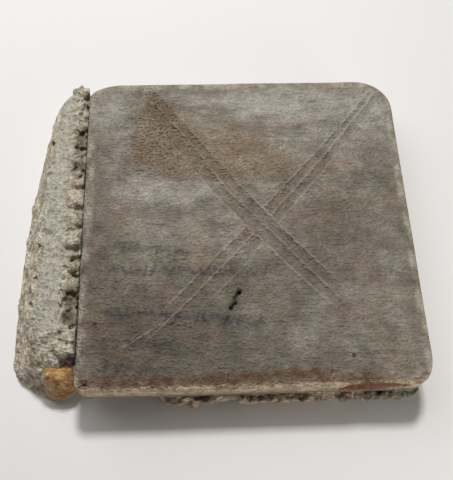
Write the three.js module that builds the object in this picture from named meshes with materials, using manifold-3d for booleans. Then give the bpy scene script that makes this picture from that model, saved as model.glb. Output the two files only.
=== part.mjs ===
// A square fired-clay ceiling tile with two crossed pairs of finger grooves in its face,
// still lying in its setting mortar: a bed below it and a thick block along its left side,
// with one rubble stone in the block's near end.
// Millimetres, +Z up, +X to the right along the near edge, +Y away from the near edge.
// The origin is on the flat underside of the mortar, below the centre of the tile.

import * as THREE from 'three';
import { mergeVertices } from 'three/addons/utils/BufferGeometryUtils.js';
import { ConvexGeometry } from 'three/addons/geometries/ConvexGeometry.js';
import Module from 'manifold-3d';

const wasm = await Module();
wasm.setup();

// Tile
const tileWidth = 427;
const tileDepth = 438;
const tileThickness = 43;
const upperArrisRadius = 8;
const lowerArrisRadius = 4;
const faceFall = 0.8; // how far the face drops towards its rounded arris
const faceFallReach = 45; // how far in from the side that drop begins
const edgeWave = 0.8; // hand-struck sides are never quite straight
const edgeWaveLength = 150;

// Corners of the tile seen from above: reach along X, then along Y
const nearRightCorner = [23, 33];
const farRightCorner = [50, 45];
const farLeftCorner = [45, 22];
const nearLeftCorner = [12, 14];

// Finger grooves: two channels to each stroke
const fingerRadius = 13;
const fingerDepth = 2.1; // press of the finger into the wet clay
const fingerLift = 1.2; // height of the fingertip above the face where a stroke starts and ends
const fingerLiftReach = 0.14; // share of a stroke over which the finger comes down or lifts

// First stroke, from the far left corner to the near right: distances in from those corners
const strokeOneStart = [74, 7];
const strokeOneEnd = [96, 98];
const strokeOneBow = 8; // how far its middle swings to the near left
const strokeOneSpacing = 15.5; // from finger to finger
// Second stroke, from the far right corner to the near left
const strokeTwoStart = [12, 13];
const strokeTwoEnd = [98, 73];
const strokeTwoBow = 8; // how far its middle swings to the near right
const strokeTwoSpacing = 14.5;

// Flake broken from the near side, which shows the red-brown body
const flakeFromCorner = 19; // gap from its right tip to the near right corner
const flakeLength = 92;
const flakeHeight = 30;
const flakeDepth = 2.6;
const flakeBelowFace = 8;

// Row of joined holes in the face, nearer the near side than the middle
const pitFromNear = 108; // from the near side to the middle of the row
const pitFromMiddle = 22; // to the left of the tile's middle line
const pitLength = 26;
const pitWidth = 7;
const pitDepth = 9;
const pitSlant = 0.55; // how far the row runs to the left for each step towards the near side

// Chip at the near left corner
const cornerChipSize = 11;
const cornerChipDepth = 4;

// Mortar bed under the tile
const seatClearance = 0.4;
const bedThickness = 38;
const bedNearBulge = 2.5; // how far the squeezed mortar stands in front of the tile
const bedSetbackRight = 9;
const bedSetbackFar = 10;
const bedNotchLength = 93; // bare stretch at the near left, where the bed is broken away
const bedNotchDepth = 19;
const bedCornerReach = 18;
const bedEdgeRound = 7;
const bedRoughness = 3.2;

// Hollow broken out of the bed's near edge
const archWidth = 44;
const archHeight = 17;
const archReach = 36;
const archLeftOfMiddle = 31;

// Shallow hollows in the underside, where the mortar pulled away from what lay behind it
const undersideHollows = 5;
const hollowReach = 34;
const hollowDepth = 4;
const hollowRing = 125; // distance of the hollows from the middle of the tile

// Mortar block along the left side of the tile
const jointGap = 1.6;
const rubbleLean = 1.2; // how far the rubble leans over the tile's rounded arris
const blockNearReach = 91; // width of the block at its near end, from the tile's side to its foot
const blockFarReach = 62;
const blockBelowFace = 4; // how far the smooth band lies below the tile's face
const blockNearSetback = 9; // short of the tile's near side
const blockFarSetback = 2; // short of the tile's far side
const nearSlopeLength = 78; // the near end falls away over this length
const nearCornerLength = 46; // the near left corner is broken off over this length
const farCornerLength = 50; // the far end is rounded off over this length
const blockEvenLength = 118; // behind its near end the block is even in width over this length
const nearEndWidth = 0.44; // width left at the very near end, as a share of the full width
const farEndWidth = 0.3;
const nearEndHeight = 0.14; // height left at the very near end, as a share of the full height
const farEndHeight = 0.8;
const nearInnerCut = 28; // the near end draws away from the tile by this much
const nearInnerLength = 26;
const rubbleLumpHeight = 5;
const rubbleLumpSpacing = 34;
const blockRoughness = 3.4;
const endChunkWidth = 17; // lump at the far end, standing above the rest
const endChunkDepth = 19;
const endChunkHeight = 24;
const endChunkRise = 4.5; // above the smooth band
const endChunkFromTile = 1.5;
const endChunkFromEnd = 9; // from the block's far end to the middle of the lump

// Rubble stone in the near end of the block
const stoneWidth = 56;
const stoneDepth = 40;
const stoneHeight = 56;
const stoneGap = 0.9; // to the side of the tile
const stoneUndercut = 12; // how far the foot of the stone lies back from the tile
const stoneLean = 11; // how far its top leans away from the near side
const stoneClearance = 0.4; // in its bed of mortar
const stoneLift = 0.6; // above the underside
const stoneNearSetback = 3; // short of the tile's near side

// Hole between the tile and the block, just behind the stone
const deepHoleReach = 15; // along the joint
const deepHoleWidth = 7;
const deepHoleDepth = 26;
const deepHoleFromNear = 56;

// Lumps of the broken mortar surface, coarse and fine
const coarseLump = 42;
const fineLump = 17;

const tileBottom = bedThickness;
const tileTop = bedThickness + tileThickness;
const halfWidth = tileWidth / 2;
const halfDepth = tileDepth / 2;
const { lerp, clamp, smoothstep } = THREE.MathUtils;

function mattMaterial(color, roughness) {
  return new THREE.MeshStandardMaterial({ color, roughness, metalness: 0, flatShading: true });
}

const firedClay = mattMaterial(0x857b6d, 0.82);
const limeMortar = mattMaterial(0xb0aa9b, 0.95);
const ochreStone = mattMaterial(0xa5804f, 0.85);

// Closed mesh through a row of rings of equal length. `flatten` maps a ring point to the plane
// of the end caps.
function loft(rings, flatten) {
  const count = rings[0].length;
  const positions = rings.flat().flatMap((point) => [point.x, point.y, point.z]);
  const indices = [];
  for (let ring = 0; ring < rings.length - 1; ring++) {
    for (let i = 0; i < count; i++) {
      const here = ring * count + i;
      const beside = ring * count + ((i + 1) % count);
      indices.push(here, beside, beside + count, here, beside + count, here + count);
    }
  }
  const addCap = (ring, sameTurn) => {
    const contour = rings[ring].map(flatten);
    const ringTurn = Math.sign(THREE.ShapeUtils.area(contour));
    for (const [a, b, c] of THREE.ShapeUtils.triangulateShape(contour, [])) {
      const turn = Math.sign(THREE.ShapeUtils.area([contour[a], contour[b], contour[c]]));
      const first = ring * count;
      const keep = (turn === ringTurn) === sameTurn;
      indices.push(first + a, first + (keep ? b : c), first + (keep ? c : b));
    }
  };
  addCap(0, false);
  addCap(rings.length - 1, true);
  const geometry = new THREE.BufferGeometry();
  geometry.setAttribute('position', new THREE.Float32BufferAttribute(positions, 3));
  geometry.setIndex(indices);
  return turnOutward(geometry);
}

// Turns every face over when the mesh came out inside out.
function turnOutward(geometry) {
  const position = geometry.attributes.position;
  const index = geometry.index.array;
  const [a, b, c] = [new THREE.Vector3(), new THREE.Vector3(), new THREE.Vector3()];
  let volume = 0;
  for (let i = 0; i < index.length; i += 3) {
    a.fromBufferAttribute(position, index[i]);
    b.fromBufferAttribute(position, index[i + 1]);
    c.fromBufferAttribute(position, index[i + 2]);
    volume += a.dot(b.cross(c));
  }
  if (volume < 0) {
    for (let i = 0; i < index.length; i += 3) [index[i], index[i + 1]] = [index[i + 1], index[i]];
  }
  return geometry;
}

function solidOf(geometry) {
  geometry.deleteAttribute('normal');
  geometry.deleteAttribute('uv');
  const welded = mergeVertices(geometry);
  const vertProperties = new Float32Array(welded.attributes.position.array);
  const triVerts = new Uint32Array(welded.index.array);
  return new wasm.Manifold(new wasm.Mesh({ numProp: 3, vertProperties, triVerts }));
}

function geometryOf(solid) {
  const mesh = solid.getMesh();
  const geometry = new THREE.BufferGeometry();
  geometry.setAttribute('position', new THREE.BufferAttribute(mesh.vertProperties, 3));
  geometry.setIndex(new THREE.BufferAttribute(mesh.triVerts, 1));
  geometry.computeVertexNormals();
  return geometry;
}

// Repeatable number from 0 to 1 for a point of a square lattice.
function latticeValue(column, row) {
  const wave = Math.sin(column * 127.1 + row * 311.7) * 43758.5453;
  return wave - Math.floor(wave);
}

// Smooth hills and hollows of about one `size` each, from -1 to 1.
function hills(a, b, size) {
  const [column, row] = [Math.floor(a / size), Math.floor(b / size)];
  const across = smoothstep(a / size - column, 0, 1);
  const up = smoothstep(b / size - row, 0, 1);
  const low = lerp(latticeValue(column, row), latticeValue(column + 1, row), across);
  const high = lerp(latticeValue(column, row + 1), latticeValue(column + 1, row + 1), across);
  return lerp(low, high, up) * 2 - 1;
}

// Uneven surface of broken mortar, from -1 to 1, at two coordinates along it.
function roughness(a, b) {
  return 0.6 * hills(a, b, coarseLump) + 0.4 * hills(a + coarseLump, b, fineLump);
}

// Outline with four elliptical corners, counter-clockwise from above. `reaches` lists the
// corners near right, far right, far left, near left: how far each runs along X, then along Y.
function roundedOutline({ left, right, near, far }, reaches, cornerSteps, sideSteps) {
  const corners = [
    { x: right, y: near, inX: -1, inY: 1 },
    { x: right, y: far, inX: -1, inY: -1 },
    { x: left, y: far, inX: 1, inY: -1 },
    { x: left, y: near, inX: 1, inY: 1 },
  ];
  const arcs = corners.map(({ x, y, inX, inY }, corner) => {
    const [alongX, alongY] = reaches[corner];
    return Array.from({ length: cornerSteps + 1 }, (_, step) => {
      const angle = (corner - 1 + step / cornerSteps) * (Math.PI / 2);
      return new THREE.Vector2(
        x + inX * alongX + alongX * Math.cos(angle),
        y + inY * alongY + alongY * Math.sin(angle),
      );
    });
  });
  return arcs.flatMap((arc, corner) => {
    const next = arcs[(corner + 1) % arcs.length][0];
    const side = [];
    for (let step = 1; step < sideSteps; step++) {
      side.push(arc[cornerSteps].clone().lerp(next, step / sideSteps));
    }
    return [...arc, ...side];
  });
}

// Outline of the tile, moved in by `inset`.
function tileOutline(inset) {
  const leastReach = 1;
  const reaches = [nearRightCorner, farRightCorner, farLeftCorner, nearLeftCorner]
    .map((reach) => reach.map((length) => Math.max(length - inset, leastReach)));
  const sides = {
    left: -halfWidth + inset,
    right: halfWidth - inset,
    near: -halfDepth + inset,
    far: halfDepth - inset,
  };
  const wave = (2 * Math.PI) / edgeWaveLength;
  return roundedOutline(sides, reaches, 7, 13).map(({ x, y }) => new THREE.Vector2(
    x + Math.sign(x) * edgeWave * Math.sin(y * wave),
    y + Math.sign(y) * edgeWave * Math.sin(x * wave + 1),
  ));
}

// The plain tile: rings from the flat underside, up the sides, over the arris to the flat face.
function tileBlank() {
  const arrisSteps = 5;
  const roundMiddle = 1 - Math.SQRT1_2; // how far in a quarter round is at its middle
  const fallKnee = { along: 0.45, down: 0.3 }; // where the fall of the face steepens
  const profile = [
    [lowerArrisRadius, tileBottom],
    [lowerArrisRadius * roundMiddle, tileBottom + lowerArrisRadius * roundMiddle],
    [0, tileBottom + lowerArrisRadius],
    [0, tileTop - upperArrisRadius - faceFall],
  ];
  for (let step = 1; step <= arrisSteps; step++) {
    const angle = (step / arrisSteps) * (Math.PI / 2);
    const inset = upperArrisRadius * (1 - Math.cos(angle));
    profile.push([inset, tileTop - faceFall - upperArrisRadius * (1 - Math.sin(angle))]);
  }
  const kneeInset = lerp(upperArrisRadius, faceFallReach, fallKnee.along);
  profile.push([kneeInset, tileTop - faceFall * fallKnee.down]);
  profile.push([faceFallReach, tileTop]);
  const ringAt = ([inset, z]) => tileOutline(inset).map(({ x, y }) => new THREE.Vector3(x, y, z));
  const rings = profile.map(ringAt);
  return solidOf(loft(rings, ({ x, y }) => new THREE.Vector2(x, y)));
}

// What one finger takes out of the face: a bar as round as the fingertip, drawn along the
// stroke, coming down onto the clay at its start and lifting off it at its end.
function fingerCut(start, end, bow, sideways) {
  const stations = 22;
  const arcSteps = 8;
  const arcReach = 0.75; // radians to each side of the lowest point
  const topHeight = fingerRadius;
  const along = end.clone().sub(start);
  const across = new THREE.Vector2(-along.y, along.x).normalize();
  const middle = start.clone().lerp(end, 0.5).addScaledVector(across, bow * 2);
  const path = new THREE.QuadraticBezierCurve(start, middle, end);
  const rings = [];
  for (let station = 0; station <= stations; station++) {
    const share = station / stations;
    const centre = path.getPoint(share);
    const tangent = path.getTangent(share);
    const side = new THREE.Vector2(-tangent.y, tangent.x);
    centre.addScaledVector(side, sideways);
    const fromEnd = Math.min(share, 1 - share);
    const press = smoothstep(fromEnd, 0, fingerLiftReach);
    const lowest = tileTop + lerp(fingerLift, -fingerDepth, press);
    const ring = [];
    for (let step = 0; step <= arcSteps; step++) {
      const angle = lerp(-arcReach, arcReach, step / arcSteps);
      const offset = fingerRadius * Math.sin(angle);
      const z = lowest + fingerRadius * (1 - Math.cos(angle));
      ring.push(new THREE.Vector3(centre.x + side.x * offset, centre.y + side.y * offset, z));
    }
    const edge = fingerRadius * Math.sin(arcReach);
    for (const offset of [edge, -edge]) {
      const corner = centre.clone().addScaledVector(side, offset);
      ring.push(new THREE.Vector3(corner.x, corner.y, tileTop + topHeight));
    }
    rings.push(ring);
  }
  const origin = rings[0][0];
  const flatten = (point) => new THREE.Vector2(
    (point.x - origin.x) * across.x + (point.y - origin.y) * across.y,
    point.z,
  );
  return solidOf(loft(rings, flatten));
}

function ellipsoid(radiusX, radiusY, radiusZ, x, y, z) {
  const geometry = new THREE.SphereGeometry(1, 14, 9);
  geometry.scale(radiusX, radiusY, radiusZ);
  geometry.translate(x, y, z);
  return solidOf(geometry);
}

// Outline of the flake: shares of its length from the left tip, then of its height from the top.
const flakeCorners = [
  [0, 0.93], [0.4, 1], [0.72, 0.62], [1, 0.3], [0.8, 0.06], [0.35, 0], [0.12, 0.18],
];

// A thin flake off the near side, pointed at both ends and highest in its left half.
function flakeCut() {
  const left = halfWidth - flakeFromCorner - flakeLength;
  const top = tileTop - flakeBelowFace;
  const outside = 6; // how far the cutter stands in front of the side
  const outline = new THREE.Shape(flakeCorners.map(([along, down]) => (
    new THREE.Vector2(left + along * flakeLength, top - down * flakeHeight)
  )));
  const depth = flakeDepth + outside;
  const geometry = new THREE.ExtrudeGeometry(outline, { depth, bevelEnabled: false });
  geometry.rotateX(Math.PI / 2);
  geometry.translate(0, -halfDepth + flakeDepth, 0);
  return solidOf(geometry);
}

// Three holes that run into each other, as left by grit or straw that burnt out.
function pitCuts() {
  const holes = 3;
  const holeReach = pitLength / 4.4; // so that each hole runs a little into the next
  const pitch = (pitLength - 2 * holeReach) / (holes - 1);
  return Array.from({ length: holes }, (_, hole) => {
    const along = (hole - (holes - 1) / 2) * pitch;
    const x = -pitFromMiddle - along * pitSlant;
    const y = -halfDepth + pitFromNear - along;
    return ellipsoid(pitWidth / 2, holeReach, pitDepth, x, y, tileTop);
  });
}

function makeTile() {
  const strokes = [
    {
      start: new THREE.Vector2(-halfWidth + strokeOneStart[0], halfDepth - strokeOneStart[1]),
      end: new THREE.Vector2(halfWidth - strokeOneEnd[0], -halfDepth + strokeOneEnd[1]),
      bow: -strokeOneBow,
      spacing: strokeOneSpacing,
    },
    {
      start: new THREE.Vector2(halfWidth - strokeTwoStart[0], halfDepth - strokeTwoStart[1]),
      end: new THREE.Vector2(-halfWidth + strokeTwoEnd[0], -halfDepth + strokeTwoEnd[1]),
      bow: strokeTwoBow,
      spacing: strokeTwoSpacing,
    },
  ];
  let tile = tileBlank();
  for (const { start, end, bow, spacing } of strokes) {
    for (const side of [-0.5, 0.5]) tile = tile.subtract(fingerCut(start, end, bow, side * spacing));
  }
  for (const pit of pitCuts()) tile = tile.subtract(pit);
  tile = tile.subtract(flakeCut());
  const chip = ellipsoid(
    cornerChipSize, cornerChipSize, cornerChipDepth,
    -halfWidth + cornerChipSize * 0.5, -halfDepth, tileTop - upperArrisRadius,
  );
  return geometryOf(tile.subtract(chip));
}

// Where the bed's edge runs, on all four sides. The left side ends inside the block.
function bedOutline() {
  const insideBlock = blockFarReach * 0.4;
  const sides = {
    left: -halfWidth - insideBlock,
    right: halfWidth - bedSetbackRight,
    near: -halfDepth - bedNearBulge,
    far: halfDepth - bedSetbackFar,
  };
  const reach = [bedCornerReach, bedCornerReach];
  const notchEnd = -halfWidth + bedNotchLength;
  const notchBlend = 12; // length over which the edge comes back out of the bare stretch
  const notchBack = tileDepth * 0.2; // the bare stretch has run out this far behind the near edge
  return roundedOutline(sides, [reach, reach, reach, reach], 4, 24).map(({ x, y }) => {
    const bare = 1 - smoothstep(x, notchEnd - notchBlend, notchEnd + notchBlend);
    const atNear = 1 - smoothstep(y, sides.near, sides.near + notchBack);
    const roughX = bedRoughness * roughness(y, 0) * smoothstep(x, 0, halfWidth);
    const roughY = bedRoughness * roughness(x, Math.sign(y) * tileDepth);
    return new THREE.Vector2(x + roughX, y + roughY + bare * atNear * (bedNotchDepth + bedNearBulge));
  });
}

// The bed's edge from its foot to the tile: shares of the edge's round, then of its height.
const bedSection = [[0.45, 0], [0, 0.13], [0.1, 0.45], [0.35, 0.78], [0.75, 1]];

// The bed: its edge bulges below the tile, and it is drawn in at the top and at the underside.
function bedBlank() {
  const height = bedThickness - seatClearance;
  const outline = bedOutline();
  const middleX = -blockFarReach * 0.2;
  const rings = bedSection.map(([roundShare, up]) => outline.map(({ x, y }) => {
    const inset = roundShare * bedEdgeRound;
    const z = up * height;
    const shrinkX = 1 - inset / halfWidth;
    const shrinkY = 1 - inset / halfDepth;
    const uneven = 1 + (bedRoughness * 0.5 * roughness(x - y, z)) / halfWidth;
    return new THREE.Vector3(middleX + (x - middleX) * shrinkX * uneven, y * shrinkY * uneven, z);
  }));
  return solidOf(loft(rings, ({ x, y }) => new THREE.Vector2(x, y)));
}

// Section of the block at one station: shares of its width there, then shares of its height.
const blockSection = [
  [0, 0], [0, 0.42], [0, 0.84], [0.02, 0.95], [0.09, 0.975], [0.16, 0.955], [0.22, 0.985],
  [0.38, 1], [0.55, 0.99], [0.62, 0.88], [0.7, 0.69], [0.79, 0.47], [0.87, 0.26], [0.96, 0.1],
  [1, 0],
];
const rubbleShare = 0.2; // the part of the width that is lumpy, beside the tile
const smoothShare = 0.55; // the smooth band reaches out to here, then the flank falls away

function makeBlock() {
  const stations = 50;
  const near = -halfDepth + blockNearSetback;
  const far = halfDepth - blockFarSetback;
  const fullHeight = tileTop - blockBelowFace;
  const rings = [];
  for (let station = 0; station <= stations; station++) {
    const y = lerp(near, far, station / stations);
    const fromNear = y - near;
    const taper = clamp((fromNear - blockEvenLength) / (far - near - blockEvenLength), 0, 1) ** 2;
    const nearCorner = Math.sin(clamp(fromNear / nearCornerLength, 0, 1) * Math.PI / 2) ** 0.8;
    const farEnd = Math.sqrt(1 - (1 - clamp((far - y) / farCornerLength, 0, 1)) ** 2);
    const nearRise = 1 - (1 - clamp(fromNear / nearSlopeLength, 0, 1)) ** 2.6;
    const innerCut = nearInnerCut * (1 - clamp(fromNear / nearInnerLength, 0, 1)) ** 1.5;
    const inner = -halfWidth - jointGap - innerCut;
    const width = lerp(blockNearReach, blockFarReach, taper);
    const reach = width * lerp(nearEndWidth, 1, nearCorner) * lerp(farEndWidth, 1, farEnd) - innerCut;
    const height = fullHeight * lerp(nearEndHeight, 1, nearRise) * lerp(farEndHeight, 1, farEnd);
    const lumpTurn = (y / rubbleLumpSpacing) * Math.PI + 2 * hills(y, 0, 2 * rubbleLumpSpacing);
    const lumpRise = (Math.abs(Math.sin(lumpTurn)) - 0.6) * rubbleLumpHeight;
    rings.push(blockSection.map(([across, up]) => {
      const atJoint = across === 0;
      const onFlank = across > smoothShare;
      const onRubble = across > 0 && across < rubbleShare;
      const rough = blockRoughness * roughness(y, across * reach + (1 - up) * height);
      const lean = across < rubbleShare && up > 0.9 ? rubbleLean : 0;
      const jointRough = Math.abs(rough) * 0.4;
      const outward = atJoint ? jointRough : rough * (onFlank ? 0.8 : 0.24);
      const rise = onRubble ? lumpRise : rough * (onFlank ? 0.3 : 0.12);
      const x = inner + lean - across * reach - outward;
      return new THREE.Vector3(x, y, up === 0 ? 0 : up * height + rise);
    }));
  }
  return solidOf(loft(rings, ({ x, z }) => new THREE.Vector2(x, z)));
}

// Angular lump: the hull of points spread over a ball, some pulled in so that flats appear. Its
// foot lies back by `undercut` along X, and its top lies back by `lean` along Y.
function angularLump(width, depth, height, undercut, lean) {
  const points = [];
  const levels = 5;
  const aroundSteps = 8;
  const topSpread = 0.63; // radius of the flat top and of the foot, as shares of the full radius
  const footSpread = 0.37;
  for (let level = 0; level < levels; level++) {
    const lift = lerp(-1, 1, level / (levels - 1));
    const endSpread = lift < 0 ? footSpread : topSpread;
    const span = Math.sqrt(1 - (1 - endSpread ** 2) * lift ** 2);
    const back = undercut * Math.max(-lift, 0) ** 1.3;
    for (let step = 0; step < aroundSteps; step++) {
      const angle = ((step + 0.5 * (level % 2)) / aroundSteps) * 2 * Math.PI;
      const pull = span * (0.9 + 0.1 * Math.sin(step * 2.4 + level * 1.9));
      points.push(new THREE.Vector3(
        Math.cos(angle) * pull * width / 2 - back,
        Math.sin(angle) * pull * depth / 2 + lift * lean,
        lift * height / 2,
      ));
    }
  }
  const geometry = new ConvexGeometry(points);
  geometry.computeBoundingBox();
  return geometry;
}

function stoneGeometry(grow) {
  const [width, depth, height] = [stoneWidth, stoneDepth, stoneHeight].map((size) => size + 2 * grow);
  return angularLump(width, depth, height, stoneUndercut, stoneLean);
}

function placedStone(grow) {
  const plain = stoneGeometry(0).boundingBox;
  const geometry = stoneGeometry(grow);
  geometry.translate(
    -halfWidth - stoneGap - plain.max.x,
    -halfDepth + stoneNearSetback - plain.min.y,
    stoneLift - plain.min.z,
  );
  return solidOf(geometry);
}

// The lump that stands at the far end of the block, beside the tile's far left corner.
function endChunk() {
  const geometry = angularLump(endChunkWidth, endChunkDepth, endChunkHeight, 0, 0);
  const bandTop = tileTop - blockBelowFace;
  geometry.translate(
    -halfWidth - jointGap - endChunkFromTile - endChunkWidth / 2,
    halfDepth - blockFarSetback - endChunkFromEnd,
    bandTop + endChunkRise - endChunkHeight / 2,
  );
  return solidOf(geometry);
}

// Shallow hollows in a ring, each a little wider or narrower than the last.
function undersideCuts() {
  return Array.from({ length: undersideHollows }, (_, hollow) => {
    const angle = (hollow / undersideHollows) * 2 * Math.PI;
    const reach = hollowReach * (1 + 0.4 * Math.sin(hollow * 2.2));
    const [x, y] = [hollowRing * Math.cos(angle), hollowRing * Math.sin(angle)];
    return ellipsoid(reach, reach * 0.8, hollowDepth, x, y, 0);
  });
}

function makeMortar() {
  const arch = ellipsoid(
    archWidth / 2, archReach, archHeight,
    -archLeftOfMiddle, -halfDepth, 0,
  );
  const deepHole = ellipsoid(
    deepHoleWidth, deepHoleReach, deepHoleDepth,
    -halfWidth - jointGap - deepHoleWidth / 2, -halfDepth + deepHoleFromNear, tileTop - blockBelowFace,
  );
  let mass = bedBlank().subtract(arch).add(makeBlock()).add(endChunk()).subtract(deepHole);
  for (const cut of undersideCuts()) mass = mass.subtract(cut);
  return geometryOf(mass.subtract(placedStone(stoneClearance)));
}

const object = new THREE.Group();
const pieces = [
  ['tile', makeTile(), firedClay],
  ['mortar', makeMortar(), limeMortar],
  ['rubble_stone', geometryOf(placedStone(0)), ochreStone],
];
for (const [name, geometry, material] of pieces) {
  const mesh = new THREE.Mesh(geometry, material);
  mesh.name = name;
  object.add(mesh);
}

export default object;
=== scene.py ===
# %% [markdown]
# # A fired-clay ceiling tile, still in its mortar
#
# The object is one square tile of fired clay with its face up. Two fingers were drawn across the
# wet clay twice, corner to corner, so that a large cross lies in the face, and rows of faint
# painted marks stand in its lower left. Below it is a bed of lime mortar, on its left a thick
# block of the same mortar, and in the block's near end sits one ochre stone.
#
# The packed model gives the exact places and sizes. Three fine meshes stand for its three solids.
# All the shaping below is done in millimetres and turned into metres when a mesh is made.

# %% Load the frame
import itertools
import math
import bpy
import numpy as np
import openvdb
from mathutils import Matrix, Vector


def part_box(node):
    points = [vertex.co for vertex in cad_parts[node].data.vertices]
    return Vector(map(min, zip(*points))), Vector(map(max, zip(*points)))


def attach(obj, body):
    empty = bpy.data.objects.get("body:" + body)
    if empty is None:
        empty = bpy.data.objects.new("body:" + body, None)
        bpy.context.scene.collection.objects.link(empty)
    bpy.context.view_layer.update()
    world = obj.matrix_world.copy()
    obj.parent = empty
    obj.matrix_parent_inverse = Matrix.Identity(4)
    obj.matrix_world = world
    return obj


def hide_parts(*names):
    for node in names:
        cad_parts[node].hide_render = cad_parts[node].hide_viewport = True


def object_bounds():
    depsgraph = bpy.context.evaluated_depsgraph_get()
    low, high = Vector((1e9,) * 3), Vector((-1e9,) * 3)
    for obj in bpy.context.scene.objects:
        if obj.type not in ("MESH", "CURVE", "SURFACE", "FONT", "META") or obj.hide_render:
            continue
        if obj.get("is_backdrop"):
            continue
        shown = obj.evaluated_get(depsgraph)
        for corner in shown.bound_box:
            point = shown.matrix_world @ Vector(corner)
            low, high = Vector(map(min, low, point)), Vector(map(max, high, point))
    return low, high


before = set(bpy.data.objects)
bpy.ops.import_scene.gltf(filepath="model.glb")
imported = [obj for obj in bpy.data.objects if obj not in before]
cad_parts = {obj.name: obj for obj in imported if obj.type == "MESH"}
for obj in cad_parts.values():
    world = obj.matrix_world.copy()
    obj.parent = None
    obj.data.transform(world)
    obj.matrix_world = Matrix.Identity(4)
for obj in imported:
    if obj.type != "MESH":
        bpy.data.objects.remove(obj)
cad_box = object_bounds()


def box_mm(node):
    """Lowest and highest corner of a solid, in millimetres."""
    return [np.array(corner) * 1000 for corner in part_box(node)]


tile_low, tile_high = box_mm("tile")
stone_low, stone_high = box_mm("rubble_stone")
for node in ("tile", "mortar", "rubble_stone"):
    low, high = box_mm(node)
    print(node, "is", np.round(high - low, 1), "mm")

# %% [markdown]
# ## Noise: the unevenness of things made by hand
#
# Clay that was wiped with a wet hand and mortar that broke away are uneven at every scale. A
# texture picture could show that, but a mesh needs heights, so the unevenness is computed: a
# lattice of slopes that point at random is blended into soft hills. `size` says how wide the
# hills are in millimetres, and three different sizes stretch them, as a wiping hand does.

# %% Hills
primes = (73856093, 19349663, 83492791)


def cells(points, size):
    """Lattice cell of each point along X, Y and Z, and how far inside it the point lies."""
    found = []
    for axis, width in enumerate(np.broadcast_to(size, 3)):
        place = (points[:, axis] / width).astype(np.float32)
        cell = np.floor(place)
        found.append((cell.astype(np.int64), place - cell))
    return found


def hills(points, size, seed):
    """Soft hills and hollows, from about -1 to 1."""
    slopes = np.random.default_rng(seed).normal(size=(3, 1024)).astype(np.float32)
    slopes /= np.linalg.norm(slopes, axis=0)
    keys, insides, fades = [], [], []
    for (cell, inside), prime in zip(cells(points, size), primes):
        keys.append((cell * prime, (cell + 1) * prime))
        insides.append((inside, inside - 1))
        fade = inside * inside * inside * (inside * (inside * 6 - 15) + 10)
        fades.append((1 - fade, fade))
    height = np.zeros(len(points), np.float32)
    for i, j, k in itertools.product((0, 1), repeat=3):
        at = (keys[0][i] ^ keys[1][j] ^ keys[2][k]) & 1023
        rise = slopes[0][at] * insides[0][i] + slopes[1][at] * insides[1][j] + slopes[2][at] * insides[2][k]
        height += fades[0][i] * fades[1][j] * fades[2][k] * rise
    return height * 1.7


def rough(points, size, seed, layers=3):
    """Hills on hills: each layer is half as wide and half as high as the one before."""
    height = sum(hills(points, np.asarray(size, float) / 2 ** k, seed + k) / 2 ** k for k in range(layers))
    return height / 1.5


sample = np.random.default_rng(1).random((2000, 3)) * 300
print("hills reach", round(float(np.abs(hills(sample, 20, 3)).max()), 2), "of 1")

# %% [markdown]
# ## Grit
#
# Mortar crumbles into grains, and hills are too smooth for that. For grit, one seed is thrown into
# each cell of a lattice, and every point keeps its distance to the nearest seed: round grains with
# sharp clefts between them.

# %% Grit
def grit(points, size, seed):
    """0 at the heart of a grain and about 1 between grains, for grains about `size` mm apart."""
    jitter = np.random.default_rng(seed).random((3, 4096)).astype(np.float32)
    (cell_x, x), (cell_y, y), (cell_z, z) = cells(points, size)
    nearest = np.full(len(points), 9.0, np.float32)
    for i, j, k in itertools.product((-1, 0, 1), repeat=3):
        at = ((cell_x + i) * primes[0] ^ (cell_y + j) * primes[1] ^ (cell_z + k) * primes[2]) & 4095
        gap_x, gap_y, gap_z = x - i - jitter[0][at], y - j - jitter[1][at], z - k - jitter[2][at]
        nearest = np.minimum(nearest, gap_x * gap_x + gap_y * gap_y + gap_z * gap_z)
    return np.sqrt(nearest)


print("grit runs from", np.round(np.percentile(grit(sample, 6, 116), [1, 99]), 2))

# %% [markdown]
# ## Soft edges, lines and patches
#
# Nothing on an old tile begins at a sharp line. `ramp` turns any measure into a soft step, and the
# other two helpers measure the distance to a line and the way into an outlined patch.

# %% Soft edges, lines and patches
def ramp(value, low, high):
    """0 below `low`, 1 above `high`, smooth between; also falls when low is above high."""
    share = np.clip((value - low) / (high - low), 0, 1)
    return share * share * (3 - 2 * share)


def to_line(points, start, end):
    """Distance of each point to a straight line in the face, and the share along it."""
    start, end = np.array(start, float), np.array(end, float)
    along = end - start
    share = np.clip(((points - start) @ along) / (along @ along), 0, 1)
    return np.linalg.norm(points - start - share[:, None] * along, axis=1), share


def inside_patch(points, corners, edge):
    """About 1 inside a patch with these corners and 0 outside, blurred over `edge` mm."""
    corners = np.array(corners, float)
    nearest = np.full(len(points), 1e9)
    crossings = np.zeros(len(points), int)
    for a, b in zip(corners, np.roll(corners, -1, axis=0)):
        nearest = np.minimum(nearest, to_line(points, a, b)[0])
        spans = (a[1] > points[:, 1]) != (b[1] > points[:, 1])
        with np.errstate(divide="ignore", invalid="ignore"):
            meets = a[0] + (points[:, 1] - a[1]) * (b[0] - a[0]) / (b[1] - a[1])
        crossings += spans & (points[:, 0] < meets)
    return ramp(np.where(crossings % 2, nearest, -nearest), -edge, edge)


print("a soft step at 0, 1 and 2 of 2:", ramp(np.array([0, 1, 2]), 0, 2))

# %% [markdown]
# ## The tile's outline
#
# The tile was struck off in a wooden frame and handled while it was wet, so its four corners are
# round to different degrees and its sides wave a little. The outline is walked as four stretches,
# each from the middle of one corner to the middle of the next. That gives every ring of the mesh
# the same number of points in matching places, and the stretches can later frame a square grid.

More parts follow.
